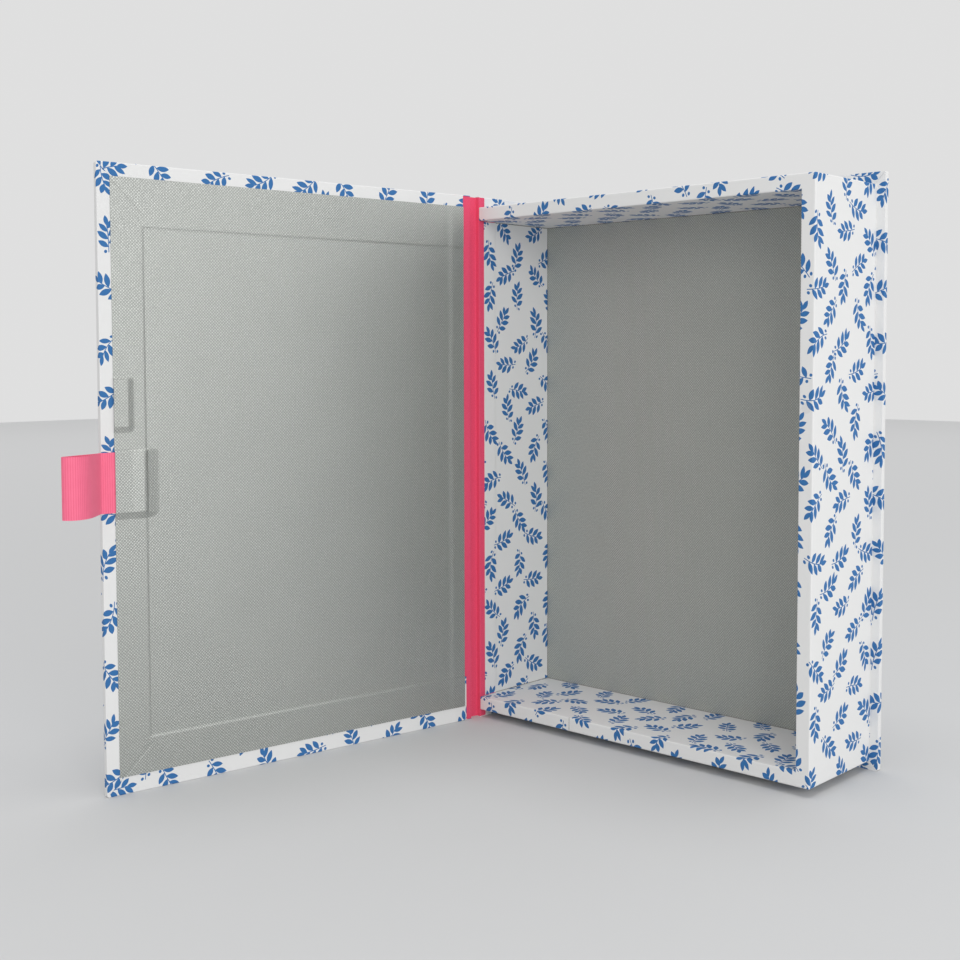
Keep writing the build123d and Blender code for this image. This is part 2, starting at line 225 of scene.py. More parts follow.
class Graph:
    """Short way to lay nodes into a shader tree or group."""

    def __init__(self, tree: bpy.types.NodeTree) -> None:
        """Keep the tree that the nodes go into."""
        self.tree = tree

    def node(self, kind: str, inputs: Inputs | None = None, **settings: object) -> bpy.types.Node:
        """Add a node, set its plain settings and feed its inputs.

        Args:
            kind: Blender's name of the node type.
            inputs: sockets or constants, by the number or name of the input.
            settings: attributes of the node.

        Returns:
            The new node.
        """
        made = self.tree.nodes.new(kind)
        for key, value in settings.items():
            setattr(made, key, value)
        for key, value in (inputs or {}).items():
            self.feed(made.inputs[key], value)
        return made

    def feed(self, target: Socket, value: object) -> None:
        """Link a socket to an input, or set the input to a constant.

        Args:
            target: the input.
            value: the socket or the constant.
        """
        if isinstance(value, bpy.types.NodeSocket):
            self.tree.links.new(value, target)
        else:
            target.default_value = value

    def math(self, operation: str, *values: Value) -> Socket:
        """Return a Math node's result for the given values."""
        return self.node("ShaderNodeMath", dict(enumerate(values)), operation=operation).outputs[0]

    def vector(self, operation: str, *values: Place) -> Socket:
        """Return a Vector Math node's vector result."""
        return self.node("ShaderNodeVectorMath", dict(enumerate(values)), operation=operation).outputs[0]

    def measured(self, operation: str, *values: Place) -> Socket:
        """Return a Vector Math node's number, for a DISTANCE or LENGTH."""
        made = self.node("ShaderNodeVectorMath", dict(enumerate(values)), operation=operation)
        return made.outputs["Value"]

    def scaled(self, place: Place, factor: Value) -> Socket:
        """Return a vector times a number."""
        return self.node("ShaderNodeVectorMath", {0: place, "Scale": factor}, operation="SCALE").outputs[0]

    def split(self, place: Socket) -> tuple[Socket, Socket, Socket]:
        """Return a vector's three parts."""
        made = self.node("ShaderNodeSeparateXYZ", {0: place})
        return made.outputs[0], made.outputs[1], made.outputs[2]

    def joined(self, x: Value, y: Value, z: Value = 0.0) -> Socket:
        """Return a vector made of three numbers."""
        return self.node("ShaderNodeCombineXYZ", {0: x, 1: y, 2: z}).outputs[0]

    def turned(self, place: Socket, angle: Value) -> Socket:
        """Return a vector turned about Z by an angle in radians."""
        made = self.node("ShaderNodeVectorRotate", {"Vector": place, "Angle": angle}, rotation_type="Z_AXIS")
        return made.outputs[0]

    def ramp(self, value: Value, low: Value, high: Value, start: float = 0.0, end: float = 1.0) -> Socket:
        """Return a value mapped from low..high to start..end, smoothly and clamped."""
        inputs = dict(enumerate((value, low, high, start, end)))
        return self.node("ShaderNodeMapRange", inputs, interpolation_type="SMOOTHSTEP").outputs[0]

    def noise(self, place: Socket, scale: float, detail: float, rough: float = 0.5) -> Socket:
        """Return smooth noise from 0 to 1."""
        inputs = {"Vector": place, "Scale": scale, "Detail": detail, "Roughness": rough}
        return self.node("ShaderNodeTexNoise", inputs).outputs[0]

    def mixed(self, factor: Value, first: object, second: object) -> Socket:
        """Return a mix of two colours."""
        return self.node("ShaderNodeMix", {0: factor, 6: first, 7: second}, data_type="RGBA").outputs[2]

    def call(self, group: bpy.types.NodeTree, **values: object) -> dict[str, Socket]:
        """Place a node group and return its outputs by name."""
        made = self.node("ShaderNodeGroup", values, node_tree=group)
        return {socket.name: socket for socket in made.outputs}

    def bump(self, height: Socket, distance: float, strength: float) -> Socket:
        """Return a normal bent by a height."""
        inputs = {"Height": height, "Distance": distance, "Strength": strength}
        return self.node("ShaderNodeBump", inputs).outputs[0]


def new_group(
    name: str, inputs: Sockets, outputs: Sockets
) -> tuple[Graph, dict[str, Socket], bpy.types.Node]:
    """Start a shader node group with named sockets.

    Args:
        name: name of the group.
        inputs: names and kinds (Vector, Float, Color) of its inputs.
        outputs: names and kinds of its outputs.

    Returns:
        The graph, the group's inputs by name, and its output node.
    """
    tree = bpy.data.node_groups.new(name, "ShaderNodeTree")
    for side, sockets in (("INPUT", inputs), ("OUTPUT", outputs)):
        for label, kind in sockets:
            tree.interface.new_socket(name=label, in_out=side, socket_type=f"NodeSocket{kind}")
    graph = Graph(tree)
    entry = graph.node("NodeGroupInput")
    leave = graph.node("NodeGroupOutput")
    return graph, {socket.name: socket for socket in entry.outputs if socket.name}, leave


@dataclass(frozen=True)
class Leaf:
    """A leaf of the printed twig: its root, length and width in millimetres, and its lean."""

    root: Point
    lean: float
    length: float
    width: float


@dataclass
class PrintGroups:
    """Node groups that print leafy twigs in loose rows on a sheet.

    A twig stands along Y and is drawn in millimetres. A pair of numbers is where an edge
    starts to fade and where it ends.
    """

    pairs: tuple[Leaf, ...] = (
        Leaf((0.1, -5.6, 0.0), lean=1.0, length=6.6, width=3.0),
        Leaf((0.1, -1.6, 0.0), lean=0.88, length=7.2, width=3.2),
        Leaf((0.1, 2.3, 0.0), lean=0.72, length=6.2, width=2.8),
    )
    tip: Leaf = Leaf((0.0, 4.6, 0.0), lean=0.0, length=5.6, width=2.6)
    leaf_edge: Pair = (-0.03, 0.06)
    leaf_stagger: float = 0.9
    stem_side: Pair = (0.17, 0.3)
    stem_end: Pair = (7.1, 7.3)
    stem_drop: float = 2.2
    berry: Point = (1.8, -7.9, 0.0)
    berry_edge: Pair = (0.8, 0.95)
    bow: float = 0.05
    wander: float = 0.17
    least_size: float = 0.96
    size_range: float = 0.12
    shuffle: float = 7.0

    def __post_init__(self) -> None:
        """Make the groups once, each from the one before."""
        self.leaf = self._leaf()
        self.twig = self._twig()
        self.layer = self._layer()
        self.scatter = self._scatter()

    def _leaf(self) -> bpy.types.NodeTree:
        """Build a group that draws one pointed leaf.

        Returns:
            The node group.
        """
        vectors = [(name, "Vector") for name in ("Point", "Root")]
        numbers = [(name, "Float") for name in ("Angle", "Length", "Width")]
        graph, take, leave = new_group("print_leaf", vectors + numbers, [("Mask", "Float")])
        local = graph.turned(graph.vector("SUBTRACT", take["Point"], take["Root"]), take["Angle"])
        x, y, _ = graph.split(local)
        along = graph.math("DIVIDE", y, take["Length"])
        swell = graph.math("MULTIPLY", along, graph.math("SUBTRACT", 1.0, along))
        half = graph.math("MULTIPLY", graph.math("MULTIPLY", swell, 2.0), take["Width"])
        inside = graph.math("SUBTRACT", half, graph.math("ABSOLUTE", x))
        graph.feed(leave.inputs["Mask"], graph.ramp(inside, *self.leaf_edge))
        return graph.tree

    def _drawn(self, graph: Graph, leaf: Leaf, point: Socket) -> Socket:
        """Draw a leaf, or a pair of leaves where the point is folded over the stem.

        Args:
            graph: the graph that the leaf is drawn in.
            leaf: the leaf.
            point: the place in twig millimetres.

        Returns:
            The leaf's mask.
        """
        made = graph.call(
            self.leaf, Point=point, Root=leaf.root, Angle=leaf.lean, Length=leaf.length, Width=leaf.width
        )
        return made["Mask"]

    def _twig(self) -> bpy.types.NodeTree:
        """Build a group that draws a twig of seven leaves with two berries.

        Returns:
            The node group.
        """
        graph, take, leave = new_group(
            "print_twig", [("Point", "Vector"), ("Bend", "Float")], [("Mask", "Float")]
        )
        x, y, _ = graph.split(take["Point"])
        bow = graph.math("MULTIPLY", graph.math("MULTIPLY", y, y), take["Bend"])
        x = graph.math("SUBTRACT", x, bow)
        side = graph.math("SIGN", x)
        stagger = graph.math("MULTIPLY_ADD", side, self.leaf_stagger, y)
        folded = graph.joined(graph.math("ABSOLUTE", x), stagger)
        straight = graph.joined(x, y)
        masks = [self._drawn(graph, leaf, folded) for leaf in self.pairs]
        masks.append(self._drawn(graph, self.tip, straight))
        thin = graph.ramp(graph.math("ABSOLUTE", x), *self.stem_side, 1.0, 0.0)
        from_middle = graph.math("ABSOLUTE", graph.math("ADD", y, self.stem_drop))
        reach = graph.ramp(from_middle, *self.stem_end, 1.0, 0.0)
        masks.append(graph.math("MULTIPLY", thin, reach))
        from_berry = graph.measured("DISTANCE", folded, self.berry)
        masks.append(graph.ramp(from_berry, *self.berry_edge, 1.0, 0.0))
        whole = masks[0]
        for mask in masks[1:]:
            whole = graph.math("MAXIMUM", whole, mask)
        graph.feed(leave.inputs["Mask"], whole)
        return graph.tree

    @staticmethod
    def _sheet_group(name: str) -> tuple[Graph, dict[str, Socket], bpy.types.Node]:
        """Start a group that prints on a sheet."""
        inputs = [("Sheet", "Vector"), ("Pitch", "Float"), ("Shift", "Vector")]
        return new_group(name, inputs, [("Mask", "Float")])

    def _layer(self) -> bpy.types.NodeTree:
        """Build a group that puts one twig, turned its own way, into each cell of a grid.

        Returns:
            The node group.
        """
        graph, take, leave = self._sheet_group("print_layer")
        pitch = graph.joined(take["Pitch"], take["Pitch"], 1.0)
        place = graph.vector("ADD", graph.vector("DIVIDE", take["Sheet"], pitch), take["Shift"])
        x, y, _ = graph.split(place)
        cell = graph.joined(graph.math("FLOOR", x), graph.math("FLOOR", y))
        shuffled = graph.vector("ADD", cell, graph.scaled(take["Shift"], self.shuffle))
        chance = graph.node("ShaderNodeTexWhiteNoise", {"Vector": shuffled}, noise_dimensions="2D")
        red, green, blue = graph.split(chance.outputs["Color"])
        middle = graph.vector("ADD", cell, (0.5, 0.5, 0.0))
        local = graph.vector("SUBTRACT", graph.joined(x, y), middle)
        wander = graph.joined(graph.math("SUBTRACT", red, 0.5), graph.math("SUBTRACT", green, 0.5))
        local = graph.vector("SUBTRACT", local, graph.scaled(wander, self.wander))
        local = graph.scaled(local, take["Pitch"])
        local = graph.turned(local, graph.math("MULTIPLY", chance.outputs["Value"], math.tau))
        bend = graph.math("MULTIPLY", graph.math("SUBTRACT", blue, 0.5), self.bow)
        local = graph.scaled(local, graph.math("MULTIPLY_ADD", blue, self.size_range, self.least_size))
        twig = graph.call(self.twig, Point=local, Bend=bend)
        graph.feed(leave.inputs["Mask"], twig["Mask"])
        return graph.tree

    def _scatter(self) -> bpy.types.NodeTree:
        """Build a group that scatters twigs over a sheet, in two layers that fill each other's gaps.

        Returns:
            The node group.
        """
        graph, take, leave = self._sheet_group("print_scatter")
        between = graph.vector("ADD", take["Shift"], (0.5, 0.5, 0.0))
        first, second = (
            graph.call(self.layer, Sheet=take["Sheet"], Pitch=take["Pitch"], Shift=shift)
            for shift in (take["Shift"], between)
        )
        graph.feed(leave.inputs["Mask"], graph.math("MAXIMUM", first["Mask"], second["Mask"]))
        return graph.tree


def weave_group() -> bpy.types.NodeTree:
    """Build a group that gives the height of a plain weave.

    Returns:
        The node group.
    """
    graph, take, leave = new_group(
        "plain_weave", [("Sheet", "Vector"), ("Pitch", "Float"), ("Slub", "Float")], [("Height", "Float")]
    )
    drift = graph.noise(take["Sheet"], scale=0.22, detail=2.0)
    sway = graph.math("MULTIPLY", graph.math("SUBTRACT", drift, 0.5), take["Slub"])
    x, y, _ = graph.split(take["Sheet"])
    scale = graph.math("DIVIDE", math.pi, take["Pitch"])
    across = graph.math("MULTIPLY", graph.math("ADD", x, sway), scale)
    along = graph.math("MULTIPLY", graph.math("ADD", y, sway), scale)
    sin_x = graph.math("SINE", across)
    sin_y = graph.math("SINE", along)
    over = graph.math("MULTIPLY", sin_x, sin_y)
    thread = graph.math("MAXIMUM", graph.math("ABSOLUTE", sin_x), graph.math("ABSOLUTE", sin_y))
    crossing, ground, roundness = 0.35, 0.3, 0.45
    lift = graph.math("MULTIPLY_ADD", over, crossing, ground)
    graph.feed(leave.inputs["Height"], graph.math("MULTIPLY_ADD", thread, roundness, lift))
    return graph.tree


def ribs_group() -> bpy.types.NodeTree:
    """Build a group that gives the round ribs of a corded ribbon, and a mask of the valleys between them for
    painted shade.

    Returns:
        The node group.
    """
    graph, take, leave = new_group(
        "ribbon_ribs", [("Sheet", "Vector"), ("Pitch", "Float")], [("Height", "Float"), ("ValleyShade", "Float")]
    )
    x, y, _ = graph.split(take["Sheet"])
    wave = graph.math("SINE", graph.math("MULTIPLY", x, graph.math("DIVIDE", math.pi, take["Pitch"])))
    round_rib = graph.math("ABSOLUTE", wave)
    thread_turn, thread_height = 9.0, 0.15
    fine = graph.math("ABSOLUTE", graph.math("SINE", graph.math("MULTIPLY", y, thread_turn)))
    graph.feed(leave.inputs["Height"], graph.math("MULTIPLY_ADD", fine, thread_height, round_rib))
    # Mask of the valleys between the ribs, where shade is painted.
    graph.feed(leave.inputs["ValleyShade"], graph.ramp(round_rib, 0.0, 0.5, 1.0, 0.0))
    return graph.tree


# Finishes


@dataclass
class Shaders:
    """Node groups shared by the finishes."""

    prints: PrintGroups = field(default_factory=PrintGroups)
    weave: bpy.types.NodeTree = field(default_factory=weave_group)
    ribs: bpy.types.NodeTree = field(default_factory=ribs_group)


def new_material(name: str, plain: dict[str, float]) -> tuple[bpy.types.Material, Graph, bpy.types.Node]:
    """Start a material.

    Args:
        name: name of the material.
        plain: plain values of its surface, by the names of the Principled node's inputs.

    Returns:
        The material, its graph and its Principled node.
    """
    material = bpy.data.materials.new(name)
    material.use_nodes = True
    graph = Graph(material.node_tree)
    shader = material.node_tree.nodes["Principled BSDF"]
    for key, value in plain.items():
        shader.inputs[key].default_value = value
    return material, graph, shader


def sheet_place(graph: Graph) -> Socket:
    """Return the piece's own flat millimetres as a vector."""
    made = graph.node("ShaderNodeUVMap", uv_map="sheet")
    return made.outputs[0]


def object_place(graph: Graph) -> Socket:
    """Return Object coordinates in millimetres."""
    made = graph.node("ShaderNodeTexCoord")
    return graph.scaled(made.outputs["Object"], 1 / MM)


@dataclass(frozen=True)
class PrintedPaper:
    """Matt white cover paper with a small blue print, and the grey of a magnet under it."""

    shaders: Shaders
    name: str = "cover_paper"
    white: Colour = (0.795, 0.795, 0.79, 1.0)
    cloud: Colour = (0.70, 0.695, 0.685, 1.0)
    cloudy: float = 0.06
    blue: Colour = (0.03, 0.155, 0.40, 1.0)
    worn_blue: Colour = (0.07, 0.19, 0.42, 1.0)
    worn: float = 0.22
    pitch: float = 28.5
    shift: Point = (0.37, 0.21, 0.0)
    roughness: Pair = (0.56, 0.7)
    relief: float = 0.00005
    magnet: Point | None = None
    magnet_grey: Colour = (0.36, 0.37, 0.40, 1.0)
    magnet_edge: Pair = (2.4, 3.2)
    magnet_shows: float = 0.16

    def make(self) -> bpy.types.Material:
        """Make the material.

        Returns:
            The finished material.
        """
        material, graph, shader = new_material(self.name, {"Specular IOR Level": 0.3})
        sheet = sheet_place(graph)
        spot = object_place(graph)
        ink = graph.call(self.shaders.prints.scatter, Sheet=sheet, Pitch=self.pitch, Shift=self.shift)["Mask"]
        fibres = graph.noise(spot, scale=1.6, detail=4.0, rough=0.65)
        clouds = graph.noise(spot, scale=0.02, detail=3.0)
        shade = graph.ramp(clouds, 0.3, 0.7, 0.0, self.cloudy)
        ground = graph.mixed(shade, self.white, self.cloud)
        dye = graph.mixed(graph.ramp(fibres, 0.3, 0.7, 0.0, self.worn), self.blue, self.worn_blue)
        colour = graph.mixed(ink, ground, dye)
        if self.magnet is not None:
            away = graph.measured("DISTANCE", spot, self.magnet)
            seen = graph.ramp(away, *self.magnet_edge, self.magnet_shows, 0.0)
            colour = graph.mixed(seen, colour, self.magnet_grey)
        graph.feed(shader.inputs["Base Color"], colour)
        graph.feed(shader.inputs["Roughness"], graph.ramp(fibres, 0.2, 0.8, *self.roughness))
        graph.feed(shader.inputs["Normal"], graph.bump(fibres, self.relief, 0.35))
        return material


@dataclass(frozen=True)
class BookCloth:
    """Woven book cloth, painted darker where the weave sits low, as shade between the threads."""

    shaders: Shaders
    name: str
    light: Colour
    dark: Colour
    pitch: float
    slub: float = 0.25
    relief: float = 0.00006
    roughness: float = 0.72
    smoother: float = 0.05
    rougher: float = 0.06
    sheen: float = 0.12
    metallic: float = 0.0
    speck_share: float = 0.93
    speck_dark: float = 0.45
    speck_lift: float = 0.8

    def make(self) -> bpy.types.Material:
        """Make the material.

        Returns:
            The finished material.
        """
        material, graph, shader = new_material(
            self.name, {"Sheen Weight": self.sheen, "Metallic": self.metallic, "Specular IOR Level": 0.3}
        )
        spot = object_place(graph)
        sheet = sheet_place(graph)
        woven = graph.call(self.shaders.weave, Sheet=sheet, Pitch=self.pitch, Slub=self.slub)
        height = woven["Height"]
        speck = graph.noise(sheet, scale=1.1, detail=4.0, rough=0.75)
        broad = graph.noise(sheet, scale=0.03, detail=2.0)
        # Painted shade: dark where the weave sits low, between the threads, and light on the threads.
        colour = graph.mixed(graph.ramp(height, 0.2, 0.95), self.dark, self.light)
        patches = graph.math("MULTIPLY", broad, 1 - self.speck_share)
        grain = graph.math("MULTIPLY_ADD", speck, self.speck_share, patches)
        colour = graph.mixed(graph.ramp(grain, 0.35, 0.65, 0.0, self.speck_dark), colour, self.dark)
        graph.feed(shader.inputs["Base Color"], colour)
        lift = graph.math("MULTIPLY_ADD", speck, self.speck_lift, height)
        graph.feed(shader.inputs["Normal"], graph.bump(lift, self.relief, 0.8))
        duller = graph.noise(spot, scale=0.3, detail=2.0)
        low, high = self.roughness - self.smoother, self.roughness + self.rougher
        graph.feed(shader.inputs["Roughness"], graph.ramp(duller, 0.3, 0.7, low, high))
        return material


@dataclass(frozen=True)
class CordedRibbon:
    """Ribbon with fine ribs across its length, painted darker in the valleys between the ribs as shade."""

    shaders: Shaders
    name: str = "corded_ribbon"
    crest: Colour = (1.0, 0.2, 0.33, 1.0)
    valley_shade: Colour = (0.74, 0.055, 0.14, 1.0)
    pitch: float = 1.2
    relief: float = 0.00008
    valley_shade_share: float = 0.55
    patch_share: float = 0.2

    def make(self) -> bpy.types.Material:
        """Make the material.

        Returns:
            The finished material.
        """
        material, graph, shader = new_material(
            self.name, {"Roughness": 0.5, "Sheen Weight": 0.05, "Specular IOR Level": 0.25}
        )
        sheet = sheet_place(graph)
        ribs = graph.call(self.shaders.ribs, Sheet=sheet, Pitch=self.pitch)
        broad = graph.noise(sheet, scale=0.2, detail=3.0)
        patches = graph.math("MULTIPLY", broad, self.patch_share)
        # Painted shade: the valleys between the ribs take the darker colour, with broad random patches mixed
        # in.
        deep = graph.math("MULTIPLY_ADD", ribs["ValleyShade"], self.valley_shade_share, patches)
        graph.feed(shader.inputs["Base Color"], graph.mixed(deep, self.crest, self.valley_shade))
        graph.feed(shader.inputs["Normal"], graph.bump(ribs["Height"], self.relief, 0.8))
        return material


@dataclass(frozen=True)
class Greyboard:
    """Raw grey board with flecks of paper in it."""

    name: str = "greyboard"
    dark: Colour = (0.21, 0.195, 0.175, 1.0)
    light: Colour = (0.37, 0.35, 0.32, 1.0)
    relief: float = 0.0001

    def make(self) -> bpy.types.Material:
        """Make the material.

        Returns:
            The finished material.
        """
        material, graph, shader = new_material(self.name, {"Roughness": 0.85})
        fleck = graph.noise(object_place(graph), scale=0.9, detail=5.0, rough=0.7)
        colour = graph.mixed(graph.ramp(fleck, 0.35, 0.7), self.dark, self.light)
        graph.feed(shader.inputs["Base Color"], colour)
        graph.feed(shader.inputs["Normal"], graph.bump(fleck, self.relief, 0.5))
        return material


@dataclass(frozen=True)
class PlainMetal:
    """Sheet steel or nickel plating with faint brushing."""

    name: str
    colour: Colour
    roughness: float
    brushing: float = 0.12
    shade: float = 0.8
    stretch: Point = (1.0, 1.0, 0.05)

    def make(self) -> bpy.types.Material:
        """Make the material.

        Returns:
            The finished material.
        """
        material, graph, shader = new_material(self.name, {"Metallic": 1.0})
        spot = graph.vector("MULTIPLY", object_place(graph), self.stretch)
        brushed = graph.noise(spot, scale=3.0, detail=4.0)
        rough = graph.ramp(brushed, 0.3, 0.7, self.roughness, self.roughness + self.brushing)
        graph.feed(shader.inputs["Roughness"], rough)
        deeper = tuple(part * self.shade for part in self.colour[:3]) + (1.0,)
        graph.feed(shader.inputs["Base Color"], graph.mixed(brushed, self.colour, deeper))
        return material


# Mesh building


def picked(geom: Iterable[object], kind: type) -> list:
    """Return the parts of an operator's result that are of one kind."""
    return [part for part in geom if isinstance(part, kind)]


def extent(edge: Edge) -> Vector:
    """Return how far an edge reaches along each axis."""
    first, second = edge.verts
    return Vector(abs(part) for part in first.co - second.co)


def face_cloud(faces: Iterable[Face]) -> list[object]:
    """Gather faces with their edges and points, as operators want them.

    Args:
        faces: the faces.

    Returns:
        The faces, then their edges and their points, each once.
    """
    faces = list(faces)
    edges = dict.fromkeys(edge for face in faces for edge in face.edges)
    points = dict.fromkeys(vert for face in faces for vert in face.verts)
    return [*faces, *edges, *points]


def cut(bm: Mesh, where: Sequence[float], normal: Sequence[float], inside: Test | None = None) -> None:
    """Cut faces along a plane.

    Args:
        bm: the mesh.
        where: a point on the plane.
        normal: the plane's normal.
        inside: tells from a face's middle whether the face is cut.
    """
    on_plane = 1e-5
    faces = [face for face in bm.faces if inside is None or inside(face.calc_center_median())]
    bmesh.ops.bisect_plane(
        bm, geom=face_cloud(faces), dist=on_plane, plane_co=where, plane_no=Vector(normal).normalized()
    )


def cut_across(bm: Mesh, axis: Vector, places: Iterable[float], inside: Test | None = None) -> None:
    """Cut faces at several places along an axis.

    Beside rounded edges, such cuts keep the flat faces shading flat.

    Args:
        bm: the mesh.
        axis: the axis that the cuts are square to.
        places: distances along the axis.
        inside: tells from a face's middle whether the face is cut.
    """
    for place in places:
        cut(bm, axis * place, axis, inside)


def drop_faces(bm: Mesh, gone: Test) -> None:
    """Delete the faces whose middle the test picks."""
    faces = [face for face in bm.faces if gone(face.calc_center_median())]
    bmesh.ops.delete(bm, geom=faces, context="FACES")


def deepen(bm: Mesh, depth: Vector) -> None:
    """Make a flat mesh a closed block of the given depth, with its faces outwards.

    Args:
        bm: the mesh.
        depth: the way from the flat mesh to the block's other side.
    """
    grown = bmesh.ops.extrude_face_region(bm, geom=bm.faces[:])["geom"]
    bmesh.ops.translate(bm, verts=picked(grown, bmesh.types.BMVert), vec=depth)
    bmesh.ops.recalc_face_normals(bm, faces=bm.faces)


def round_edges(bm: Mesh, chosen: Iterable[Edge], radius: float, segments: int) -> None:
    """Round edges with an even bevel.

    Args:
        bm: the mesh.
        chosen: the edges to round.
        radius: radius of the rounding.
        segments: number of strips that the rounding takes.
    """
    bmesh.ops.bevel(
        bm,
        geom=list(chosen),
        offset=radius,
        offset_type="OFFSET",
        affect="EDGES",
        segments=segments,
        profile=0.5,
        material=-1,
        clamp_overlap=True,
    )


def mapped_grid(across: Sequence[float], along: Sequence[float]) -> Mesh:
    """Return a flat grid whose lines lie at the given stations.

    Args:
        across: x stations, rising.
        along: y stations, rising.

    Returns:
        A new mesh.
    """
    bm = bmesh.new()
    bmesh.ops.create_grid(bm, x_segments=len(across) - 1, y_segments=len(along) - 1, size=1.0)
    for vert in bm.verts:
        column = round((vert.co.x + 1) / 2 * (len(across) - 1))
        row = round((vert.co.y + 1) / 2 * (len(along) - 1))
        vert.co = Vector((across[column], along[row], 0.0))
    return bm


def stations(low: float, high: float, spacing: float, fine: Sequence[Point] = ()) -> list[float]:
    """Return grid stations: even ones, with closer ones in some stretches.

    Args:
        low: first station.
        high: last station.
        spacing: widest distance between stations.
        fine: stretches as (start, end, spacing).

    Returns:
        Rising stations.
    """
    marks = {low, high}
    for start, end, step in [(low, high, spacing), *fine]:
        start = max(start, low)
        end = min(end, high)
        count = max(1, round((end - start) / step))
        if end > start:
            marks.update(start + (end - start) * index / count for index in range(count + 1))
    narrowest = 0.12
    kept = [low]
    for mark in sorted(marks)[1:]:
        if mark - kept[-1] > narrowest and high - mark > narrowest:
            kept.append(mark)
    return kept + [high]


def smooth_rise(value: float, edge: float, ramp: float) -> float:
    """Return 0 before an edge and 1 after it, with a smooth rise of the given width."""
    share = min(1.0, max(0.0, (value - edge) / ramp + 0.5))
    return share * share * (3 - 2 * share)


def arc_round(corner: Vector, before: Vector, after: Vector, radius: float) -> list[Vector]:
    """Return points on the arc that rounds a path's corner.

    Args:
        corner: the corner.
        before: the path's point before it.
        after: the path's point after it.
        radius: radius of the arc.

    Returns:
        Points from one end of the arc to the other.
    """
    pieces = 6
    back = (before - corner).normalized()
    ahead = (after - corner).normalized()
    half = back.angle(ahead) / 2
    reach = radius / math.tan(half)
    centre = corner + (back + ahead).normalized() * radius / math.sin(half)
    first = corner + back * reach - centre
    last = corner + ahead * reach - centre
    arc = first.angle(last)
    points = []
    for piece in range(pieces + 1):
        share = piece / pieces
        mixed = first * math.sin(arc * (1 - share)) + last * math.sin(arc * share)
        points.append(centre + mixed / math.sin(arc))
    return points


def rounded_path(corners: Sequence[Pair], radii: Sequence[float], spacing: float) -> list[Vector]:
    """Return a path through corners that are rounded by arcs.

    Args:
        corners: corner points, first and last included.
        radii: radius at each inner corner.
        spacing: distance between points along straight runs.

    Returns:
        Points along the path.
    """
    points = [Vector(corner) for corner in corners]
    path = [points[0]]
    for before, corner, after, radius in zip(points, points[1:], points[2:], radii):
        path.extend(arc_round(corner, before, after, radius))
    path.append(points[-1])
    shortest = 1e-4
    spaced = [path[0]]
    for point in path[1:]:
        begin = spaced[-1]
        run = (point - begin).length
        if run < shortest:
            continue
        count = max(1, math.ceil(run / spacing))
        spaced.extend(begin.lerp(point, part / count) for part in range(1, count + 1))
    return spaced


def smooth_path(knots: Sequence[Vector], pull: float, spacing: float) -> list[Vector]:
    """Return a smooth path through knots.

    Args:
        knots: points that the path goes through.
        pull: share of each span at which the curve's handles stand.
        spacing: distance between points.

    Returns:
        Points along the path.
    """
    path: list[Vector] = []
    for index, (first, second) in enumerate(zip(knots, knots[1:])):
        before = knots[max(0, index - 1)]
        after = knots[min(len(knots) - 1, index + 2)]
        span = (second - first).length
        lead = (second - before).normalized() * span * pull
        trail = (after - first).normalized() * span * pull
        count = max(2, round(span / spacing))
        for part in range(count):
            t = part / count
            u = 1 - t
            path.append(
                first * u**3
                + (first + lead) * 3 * u * u * t
                + (second - trail) * 3 * u * t * t
                + second * t**3
            )
    path.append(knots[-1])
    return path


def path_lengths(path: Sequence[Vector]) -> list[float]:
    """Measure how far each point of a path is from its start, along the path.

    Args:
        path: points of the path.

    Returns:
        A distance for each point.
    """
    lengths = [0.0]
    for before, after in zip(path, path[1:]):
        lengths.append(lengths[-1] + (after - before).length)
    return lengths


def path_sheet(path: Sequence[Vector], rows: Sequence[float]) -> Mesh:
    """Return a sheet that follows a path in plan and stands along Z, with its flat sizes kept.

    Args:
        path: points of the path in plan.
        rows: heights of the sheet's rows.

    Returns:
        A new mesh with a sheet UV layer.
    """
    lengths = path_lengths(path)
    bm = mapped_grid(list(range(len(path))), list(range(len(rows))))
    unfold(bm, lambda face, co: (lengths[round(co.x)], rows[round(co.y)]))
    for vert in bm.verts:
        point = path[round(vert.co.x)]
        vert.co = Vector((point.x, point.y, rows[round(vert.co.y)]))
    return bm


def unfold(bm: Mesh, rule: Unfold) -> None:
    """Give every face corner its place on the flat sheet.

    Args:
        bm: the mesh.
        rule: returns the flat place of a face's corner.
    """
    layer = bm.loops.layers.uv.new("sheet")
    bm.normal_update()
    for face in bm.faces:
        for loop in face.loops:
            loop[layer].uv = rule(face, loop.vert.co)


def carry_on(bm: Mesh, edges: Sequence[Edge], run: Vector, outward: Vector) -> None:
    """Carry a sheet on from an upright edge, in a few strides.

    Args:
        bm: the sheet's mesh.
        edges: edges to start from.
        run: the way from the edge to the sheet's new end.
        outward: the side that the new faces turn to.
    """
    strides = 6
    for _ in range(strides):
        grown = bmesh.ops.extrude_edge_only(bm, edges=edges)["geom"]
        bmesh.ops.translate(bm, verts=picked(grown, bmesh.types.BMVert), vec=run / strides)
        for face in picked(grown, bmesh.types.BMFace):
            face.normal_update()
            if face.normal.dot(outward) < 0:
                face.normal_flip()
        edges = [edge for edge in picked(grown, bmesh.types.BMEdge) if extent(edge).z > APART]


# Pieces


def put_in_scene(name: str, data: bpy.types.ID) -> bpy.types.Object:
    """Put a new object into the scene.

    Args:
        name: name of the object.
        data: its mesh, light or camera.

    Returns:
        The new object.
    """
    made = bpy.data.objects.new(name, data)
    bpy.context.scene.collection.objects.link(made)
    return made


def bend_between(
    made: bpy.types.Object, placing: Matrix, start: Point, end: Point
) -> None:
    """Bake a piece's placing into its mesh. The start and end are put into world places, and the piece is not
    bent.

    Args:
        made: the piece.
        placing: placing of the millimetres that the bend is given in.
        start: where the bend starts.
        end: where the bend ends.
    """
    start, end = placing @ Vector(start), placing @ Vector(end)
    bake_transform(made)


